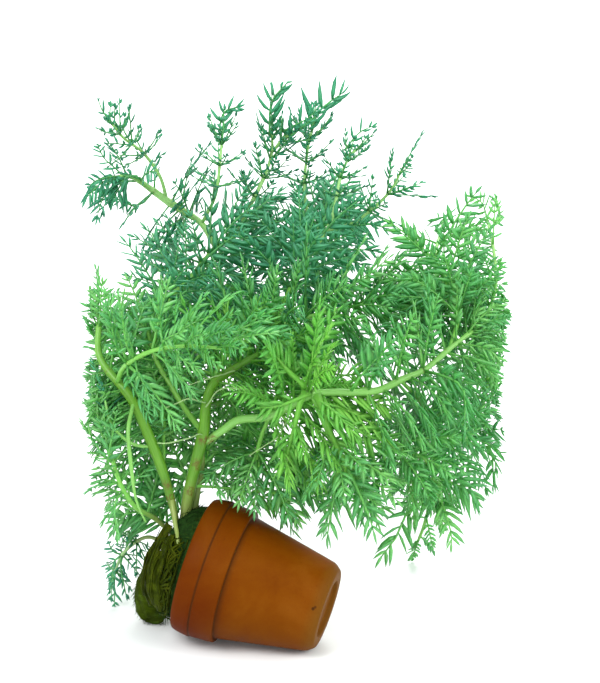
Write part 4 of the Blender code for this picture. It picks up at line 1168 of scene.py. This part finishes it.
class WaterVioletLeafLook(PropertyGroup):
    """Sizes and colours of the leaves."""

    leaflet_spacing: metres("Leaflet spacing", 0.0037, 0.001, 0.01, "Between neighbouring pairs of leaflets")
    leaflet_width: metres("Leaflet width", 0.0023, 0.0004, 0.003, "Widest part of a full-grown leaflet")
    leaflet_reach: fraction("Leaflet reach", 1.0, 0.5, 1.2, "Length of leaflets, as a share of the usual")
    midrib_width: metres("Midrib width", 0.0016, 0.0004, 0.003, "Of a full-grown leaf's midrib, at its base")
    young_leaves: whole("Young leaves", 7, 0, 12, "Short leaves in the bunch at each tip")
    deep: colour("Deep green", (0.085, 0.345, 0.160), "Old leaves and the shade side")
    mid: colour("Leaf green", (0.180, 0.575, 0.200), "Most leaves")
    bright: colour("Fresh green", (0.345, 0.760, 0.250), "Young leaves")
    far_deep: colour("Deep blue green", (0.034, 0.230, 0.140), "Old leaves of the upper shoots")
    far_mid: colour("Blue green", (0.085, 0.420, 0.240), "Leaves of the upper shoots")
    far_bright: colour("Fresh blue green", (0.175, 0.585, 0.320), "Young leaves of the upper shoots")
    vein: colour("Midrib green", (0.230, 0.600, 0.085), "Midribs")
    light_through: fraction("Light through", 0.50, 0, 1, "Share of light that leaves let through")


class WaterVioletStemLook(PropertyGroup):
    """Sizes and colours of the stems and free roots."""

    stem_thickness: fraction("Stem thickness", 1.0, 0.7, 1.1, "Thickness as a share of the usual")
    stem: colour("Stem green", (0.064, 0.222, 0.007), "Thick stems")
    stem_light: colour("Pale stem green", (0.142, 0.342, 0.026), "Lit streaks of thick stems")
    thin: colour("Thin stem green", (0.110, 0.400, 0.045), "Thin stems")
    thin_light: colour("Pale thin stem green", (0.230, 0.560, 0.100), "Lit streaks of thin stems")
    young: colour("Young stem green", (0.122, 0.325, 0.054), "Young stems and free roots")
    young_light: colour("Pale young stem green", (0.208, 0.452, 0.126), "Lit streaks of young stems")
    root: colour("Upper stem green", (0.200, 0.430, 0.130), "Upper stems and rootlets")
    root_light: colour("Pale upper stem green", (0.420, 0.640, 0.300), "Lit streaks of upper stems")
    foot: colour("Pale stem foot", (0.300, 0.340, 0.100), "Thick stems where they leave the root ball")
    node_ring: colour("Joint brown", (0.120, 0.120, 0.015), "Rings where leaves grew")
    scar: colour("Scar brown", (0.130, 0.060, 0.008), "Scars of old leaves")


class WaterVioletPotLook(PropertyGroup):
    """Colours of the fired clay."""

    segments: whole("Segments", 96, 48, 256, "Steps around the pot")
    clay: colour("Clay", (0.138, 0.036, 0.0006), "Most of the pot")
    clay_dark: colour("Dark clay", (0.109, 0.024, 0.0004), "Clouds and specks")
    clay_light: colour("Light clay", (0.171, 0.051, 0.003), "Lit clouds")
    # partly the clay's own redder rim, partly painted shade at the lip and low on the collar
    clay_rim: colour("Rim clay", (0.083, 0.0100, 0.0002), "Redder clay at the lip")
    # painted light: the paler clay at the foot end
    clay_foot: colour("Foot clay", (0.120, 0.056, 0.0070), "Worn clay of the foot")
    # real dark specks and pits, and painted shade in the groove and under the collar's step
    clay_speck: colour("Dark speck", (0.040, 0.014, 0.003), "Pits, specks and the groove")


class WaterVioletMossLook(PropertyGroup):
    """Sizes and colours of the root ball, the moss and the withered leaves."""

    hairs: whole("Hairs", 260, 0, 4000, "Fine hairs on the moss clump")
    root_hairs: whole("Root hairs", 520, 0, 4000, "Fine roots on the root ball")
    strips: whole("Strips", 460, 1, 1000, "Narrow withered strips on the root ball")
    moss_dark: colour("Dark moss", (0.016, 0.026, 0.001), "Hollows of the moss")
    moss: colour("Moss", (0.038, 0.062, 0.0012), "Most of the moss")
    moss_light: colour("Pale moss", (0.085, 0.160, 0.018), "Lit moss")
    ball_dark: colour("Dark root ball", (0.008, 0.022, 0.005), "Hollows of the root ball")
    ball: colour("Root ball", (0.018, 0.055, 0.009), "Most of the root ball")
    ball_light: colour("Pale root ball", (0.055, 0.110, 0.020), "Lit fibres of the root ball")
    withered: colour("Withered leaf", (0.047, 0.068, 0.0012), "Withered leaves")
    withered_dark: colour("Dark withered leaf", (0.015, 0.024, 0.0006), "Shade side of withered leaves")
    withered_light: colour("Pale withered leaf", (0.095, 0.108, 0.005), "Edges of withered leaves")


class WaterVioletStageLook(PropertyGroup):
    """The floor and its light."""

    floor: colour("Floor", (0.86, 0.87, 0.86), "Plain pale floor")
    key: watts("Key light", 27.0, "Strength of the large soft light on the left")
    fill: watts("Fill light", 18.0, "Strength of the soft light on the right")
    back: watts("Back light", 22.0, "Strength of the light from behind")
    surround: fraction("Surround", 1.10, 0, 4, "Strength of the even light from all sides")


class WaterVioletLook(PropertyGroup):
    """All that a user would change."""

    leaves: PointerProperty(type=WaterVioletLeafLook)
    stems: PointerProperty(type=WaterVioletStemLook)
    pot: PointerProperty(type=WaterVioletPotLook)
    moss: PointerProperty(type=WaterVioletMossLook)
    stage: PointerProperty(type=WaterVioletStageLook)


def settled(piece, node):
    """Lets the piece stand for a node of the part and move with it."""
    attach(piece, "root")
    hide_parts(node)


class WATER_VIOLET_OT_pot(Operator):
    """The clay pot: a rounded section turned about its axis, with slight hand-turned unevenness"""

    bl_idname = "water_violet.pot"
    bl_label = "Clay pot"

    def execute(self, context):
        look = context.scene.water_violet.pot

        def uneven(points):
            """Radii pushed in or out by soft lumps and by the fine rings of a sine wave along the axis."""
            push = CAD_FLAT + 0.0015 * (rumple(points, 0.16, 3) - 1) + 0.0008 * np.sin(points[:, 0] * 2.1)
            return points * np.column_stack([np.ones(len(points)), push, push])

        points, quads, fans = turned(spread_out(rounded(pot_section()), 2.2), look.segments, uneven)
        along, out = points[:, 0], np.hypot(points[:, 1], points[:, 2])
        # painted shade: a dark line in the collar's groove and one just under the collar's step
        groove = np.exp(-((along - GROOVE_PLACE) / 0.45) ** 2) * (out > COLLAR_END_RADIUS - 1)
        step = np.exp(-((along - COLLAR_LENGTH - 0.4) / 0.5) ** 2)
        groove = np.maximum(groove, step * (out < COLLAR_END_RADIUS - 0.9) * (out > FOOT_RADIUS))
        skin = Skin()
        skin.add(laid(points), quads, fans, along=along / POT_LENGTH, groove=groove)
        settled(skin.piece("clay_pot", [terracotta(look)], ("along", "groove")), "pot")
        return {"FINISHED"}


def lumpy_ball(points):
    """The root ball's points, along the pot's axis, with lumps that grow as they stand out of the mouth."""
    out = np.clip(-points[:, :1] / 5, 0, 1)
    lump = 0.10 * rumple(points, 0.32, 11) + 0.05 * rumple(points, 0.95, 12)
    return points * (1 + out * lump[:, None] * np.array((1.0, 0.45, 0.45)))


def ball_strips(skin, amount):
    """Adds narrow withered strips that lie over the front of the root ball, each an arc around its axis."""
    draw = np.random.default_rng(23)

    def drawn(low, high):
        """A chance value for each strip."""
        return draw.uniform(low, high, (amount, 1))

    step = np.linspace(0, 1, 10)
    turn = drawn(3.80, 5.1) + drawn(0.35, 1.05) * step
    out = np.clip(drawn(0.30, 1.0) + 0.07 * np.sin(step * 4 + drawn(0, 6)), 0.1, 0.995)
    radius = (inner_radius(0) - 1.0) * out
    rise = BALL_RISE * np.sqrt(1 - out ** (2 / DOME_POWER))
    paths = np.stack([-rise, radius * np.sin(turn), -radius * np.cos(turn)], axis=-1)
    outward = unit(paths * np.array((0, 1.0, 1.0)) - np.array((DOME_BACK, 0, 0)))
    lift = drawn(0.2, 1.8) + 0.3 * np.sin(step * 7 + drawn(0, 6))
    paths = laid(lumpy_ball(paths.reshape(-1, 3)).reshape(paths.shape) + outward * lift[..., None])
    strips(skin, paths, outward[:, 0] @ LAY, draw, 0.7, 1.7, 2)


class WATER_VIOLET_OT_root_ball(Operator):
    """The root ball: a turned quarter of a full ellipse, with lumps, matted with fine roots"""

    bl_idname = "water_violet.root_ball"
    bl_label = "Root ball"

    def execute(self, context):
        look = context.scene.water_violet.moss
        depth = INSIDE_END - 0.3
        arc = np.linspace(0.05, 1.0, 22) * math.pi / 2
        dome = [(-BALL_RISE * math.sin(turn), (inner_radius(0) - 1.0) * math.cos(turn) ** DOME_POWER)
                for turn in arc[:-1]]
        section = np.array([(depth, 0.0), (depth, inner_radius(depth) - 0.3), (1.0, inner_radius(1.0) - 0.4),
                            *dome, (-BALL_RISE, 0.0)])
        points, quads, fans = turned(section, 72, lumpy_ball)
        skin = Skin()
        # the section runs from the pot's floor to the dome, so its faces are turned to point outwards
        skin.add(laid(points), quads[:, ::-1], fans[:, ::-1])
        draw = np.random.default_rng(21)
        out = points[points[:, 0] < -1.5]
        chosen = out[draw.integers(0, len(out), look.root_hairs)]
        outward = unit(np.column_stack([np.full(len(chosen), -DOME_BACK), chosen[:, 1:]]))
        along = unit(np.cross(outward, draw.normal(size=outward.shape)))
        starts = laid(chosen * np.array((0.97, 0.99, 0.99)))
        headings = unit(outward * 0.35 + along) @ LAY
        strands(skin, starts, headings, draw.uniform(3, 8, len(chosen)), 0.38, 22, 0.25)
        ball_strips(skin, look.strips)
        materials = [
            fibre_material("matted_roots", three_shades(look, "ball"), 160),
            fibre_material("fine_roots", (look.ball_dark, look.ball, look.withered_light), 120),
            fibre_material("withered_strips", three_shades(look, "withered"), 140, 0.6)]
        settled(skin.piece("matted_root_ball", materials), "root_ball")
        return {"FINISHED"}


class WATER_VIOLET_OT_moss_clump(Operator):
    """The moss clump: a lumpy ball pressed flat underneath, covered in short hairs"""

    bl_idname = "water_violet.moss_clump"
    bl_label = "Moss clump"

    def execute(self, context):
        look = context.scene.water_violet.moss

        def lumpy(points):
            """A ball of radius 1 with lumps of three sizes, stretched to the clump's radii."""
            lump = 0.98 + 0.09 * rumple(points, 3.0, 31) + 0.07 * rumple(points, 7.0, 32)
            lump = lump + 0.035 * rumple(points, 14.0, 33)
            placed = points * lump[:, None] * MOSS_RADII + MOSS_CENTRE
            placed[:, 2] = np.maximum(placed[:, 2], 0.15)
            return placed

        arc = np.linspace(0, math.pi, 44)
        points, quads, fans = turned(np.column_stack([-np.cos(arc), np.sin(arc)]), 72, lumpy)
        skin = Skin()
        skin.add(points, quads, fans)
        draw = np.random.default_rng(33)
        top = points[points[:, 2] > 1.5]
        chosen = top[draw.integers(0, len(top), look.hairs)]
        outward = unit(chosen - MOSS_CENTRE)
        headings = unit(outward * 0.8 + draw.normal(size=outward.shape) * 0.6)
        strands(skin, chosen - outward * 0.4, headings, draw.uniform(0.9, 2.2, len(chosen)), 0.36, 34, 0.5)
        olive = three_shades(look, "moss")
        materials = [fibre_material("olive_moss", olive, 150), fibre_material("moss_hairs", olive, 90)]
        settled(skin.piece("mossy_clump", materials), "moss_clump")
        return {"FINISHED"}


class WATER_VIOLET_OT_withered_leaves(Operator):
    """Withered leaves: crumpled straps that hang over the moss"""

    bl_idname = "water_violet.withered_leaves"
    bl_label = "Withered leaves"

    def execute(self, context):
        withered = three_shades(context.scene.water_violet.moss, "withered")
        made = fibre_material("withered_leaf", withered, 130, 0.55)
        facing = np.array((-math.cos(POT_TURN), -0.9, 0.2))
        # a flat rod carried along each route, with a slow twist, a wavy edge and soft lumps
        for order, (name, route, half_width) in enumerate(WITHERED_LEAVES):
            line, _ = smooth_route(route, 34)
            tangents = directions(line)
            sides = unit(np.cross(tangents, facing))
            share = np.linspace(0, 1, len(line))
            twist = 0.35 * np.sin(share * 5 + order)
            sides = unit(swung(sides, np.cross(tangents, sides), twist[:, None]))
            widths = half_width * (0.75 + 0.55 * np.sin(math.pi * (0.1 + 0.75 * share)))
            widths = widths * (1 + 0.12 * np.sin(share * 17 + order * 2)) * np.where(share > 0.96, 0.5, 1)
            depths = np.full_like(widths, 0.5)
            points, quads, fans = swept(line[None], sides[None], widths[None], depths[None], 20)
            skin = Skin()
            skin.add(points + 0.35 * rumple(points, 0.9, 50 + order)[:, None] * facing, quads, fans)
            draw = np.random.default_rng(60 + order)
            each = (STRAP_STRIPS, 1)
            first, last = draw.integers(0, 11, each), draw.integers(23, 34, each)
            taken = (first + (last - first) * np.linspace(0, 1, 12)).astype(int)
            offset = draw.uniform(-1.0, 1.0, each) * widths[taken]
            lift = 0.45 + draw.uniform(0.0, 0.5, each) + 0.25 * np.sin(taken * 0.5 + offset)
            paths = line[taken] + sides[taken] * offset[..., None] + facing * lift[..., None]
            strips(skin, paths, np.tile(facing, each), draw, 0.7, 1.6, 0)
            settled(skin.piece("crumpled_" + name, [made]), name)
        return {"FINISHED"}


def leaf_kind(shoot):
    """Which leaf skin the shoot has."""
    if shoot.name in FRESH_SHOOTS:
        return "fresh"
    upper = shoot.slot in ("tip_green", "root_green") and shoot.name not in NEAR_SHOOTS
    return "far" if upper or shoot.name in FAR_SHOOTS else "near"


class WATER_VIOLET_OT_shoots(Operator):
    """All shoots: each stem with whorls of comb leaves, and a bunch of young ones at its tip"""

    bl_idname = "water_violet.shoots"
    bl_label = "Stems and leaves"

    def execute(self, context):
        leaves, look = context.scene.water_violet.leaves, context.scene.water_violet.stems
        near = (leaves.deep, leaves.mid, leaves.bright)
        fresh = [np.array(shade) * FRESHNESS for shade in near]
        far = (leaves.far_deep, leaves.far_mid, leaves.far_bright)
        leaf_skins = {"near": leaf_material("leaf_skin", near, leaves),
                      "fresh": leaf_material("fresh_leaf_skin", fresh, leaves),
                      "far": leaf_material("upper_leaf_skin", far, leaves)}
        thick = stem_material("stem_skin", look.stem, look.stem_light, look)
        thin = stem_material("thin_stem_skin", look.thin, look.thin_light, look)
        young = stem_material("young_stem_skin", look.young, look.young_light, look)
        pale = stem_material("root_skin", look.root, look.root_light, look)
        stem_skins = {"stem_green": thick, "leaf_green": thin, "tip_green": pale, "root_green": pale}
        traced = [(name, leaf) for name, group in TRACED.items() for leaf in group]
        stems = [Stem(order) for order in range(len(SHOOTS))]
        bare = np.vstack([np.insert(stem.line[::6], 3, max(stem.shoot.radii), axis=1)
                          for stem in stems if stem.shoot.name in BARE_STEMS])
        for shoot, stem in zip(SHOOTS, stems):
            skin = Skin()
            stem_skin(skin, stem, look)
            if shoot.leafy < 1:
                leafy_shoot(skin, leaves, stem, bare)
            for order, (name, leaf) in enumerate(traced):
                if name == shoot.name:
                    traced_leaf(skin, leaves, name, leaf, order)
            for order, (name, swell, route) in enumerate(ROOTLETS):
                if name == shoot.name:
                    rootlet(skin, swell, route, 70 + 3 * order)
            own_skin = young if shoot.name in YOUNG_STEMS else stem_skins[shoot.slot]
            piece = skin.piece("grown_" + shoot.name, [own_skin, leaf_skins[leaf_kind(shoot)], pale],
                               ("tone", "along", "vein", "scar", "node", "rod"))
            settled(piece, shoot.name)
        return {"FINISHED"}


class WATER_VIOLET_OT_stage(Operator):
    """The plain pale floor, the soft light and the camera"""

    bl_idname = "water_violet.stage"
    bl_label = "Floor, light and camera"

    def execute(self, context):
        scene = context.scene
        look = scene.water_violet.stage
        turns = circle(FLOOR_SIDES)
        rim = np.column_stack([np.cos(turns), np.sin(turns), np.zeros(FLOOR_SIDES)]) * FLOOR_RADIUS
        mesh = bpy.data.meshes.new("pale_floor")
        mesh.from_pydata(rim.tolist(), [], [tuple(range(FLOOR_SIDES))])
        mesh.materials.append(Nodes("floor_paint").finish(look.floor, 0.6, 0.2))
        floor = shown("pale_floor", mesh)

        middle = Vector((0, 0, 0.1))
        for name, place, size, power in (("key_light", (-0.9, -1.1, 1.5), 0.9, look.key),
                                         ("fill_light", (1.3, -0.8, 0.9), 1.0, look.fill),
                                         ("back_light", (0.2, 1.2, 1.1), 0.9, look.back)):
            light = bpy.data.lights.new(name, "AREA")
            light.shape, light.size, light.energy = "DISK", size, power
            shown(name, light, place, middle - Vector(place))

        world = bpy.data.worlds.new("pale_surround")
        world.use_nodes = True
        background = world.node_tree.nodes["Background"].inputs
        background["Color"].default_value = (0.95, 0.97, 1.0, 1)
        background["Strength"].default_value = look.surround
        scene.world = world
        scene.view_settings.view_transform = "Standard"

        camera = bpy.data.cameras.new("camera")
        camera.lens, camera.clip_end = CAMERA_LENS, 20
        target = Vector((SHIFT[0] * MM, SHIFT[1] * MM, CAMERA_HEIGHT))
        away = Vector((0, -math.cos(CAMERA_ELEVATION), math.sin(CAMERA_ELEVATION)))
        scene.camera = shown("camera", camera, target + away * CAMERA_DISTANCE, -away)
        return {"FINISHED"}


class WATER_VIOLET_PT_panel(Panel):
    """A box for each group of sizes and colours, and a button for each operator"""

    bl_label = "Water Violet"
    bl_space_type = "VIEW_3D"
    bl_region_type = "UI"
    bl_category = "Water Violet"

    def draw(self, context):
        look = context.scene.water_violet
        for part in look.__annotations__:
            box = self.layout.box()
            box.label(text=part.capitalize())
            group = getattr(look, part)
            for key in group.__annotations__:
                box.prop(group, key)
        for made in BUILDERS:
            self.layout.operator(made.bl_idname)


BUILDERS = (
    WATER_VIOLET_OT_pot, WATER_VIOLET_OT_root_ball, WATER_VIOLET_OT_moss_clump,
    WATER_VIOLET_OT_withered_leaves, WATER_VIOLET_OT_shoots, WATER_VIOLET_OT_stage,
)
CLASSES = (
    WaterVioletLeafLook, WaterVioletStemLook, WaterVioletPotLook, WaterVioletMossLook,
    WaterVioletStageLook, WaterVioletLook, *BUILDERS, WATER_VIOLET_PT_panel,
)


def register():
    """Registers the classes and gives the scene its settings."""
    for made in CLASSES:
        bpy.utils.register_class(made)
    bpy.types.Scene.water_violet = PointerProperty(type=WaterVioletLook)


def unregister():
    """Takes back what register did, in the other order."""
    del bpy.types.Scene.water_violet
    for made in reversed(CLASSES):
        bpy.utils.unregister_class(made)


def main():
    """Builds all pieces and the stage."""
    register()
    bpy.ops.water_violet.pot()
    bpy.ops.water_violet.root_ball()
    bpy.ops.water_violet.moss_clump()
    bpy.ops.water_violet.withered_leaves()
    bpy.ops.water_violet.shoots()
    bpy.ops.water_violet.stage()
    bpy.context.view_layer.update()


if __name__ == "__main__":
    main()
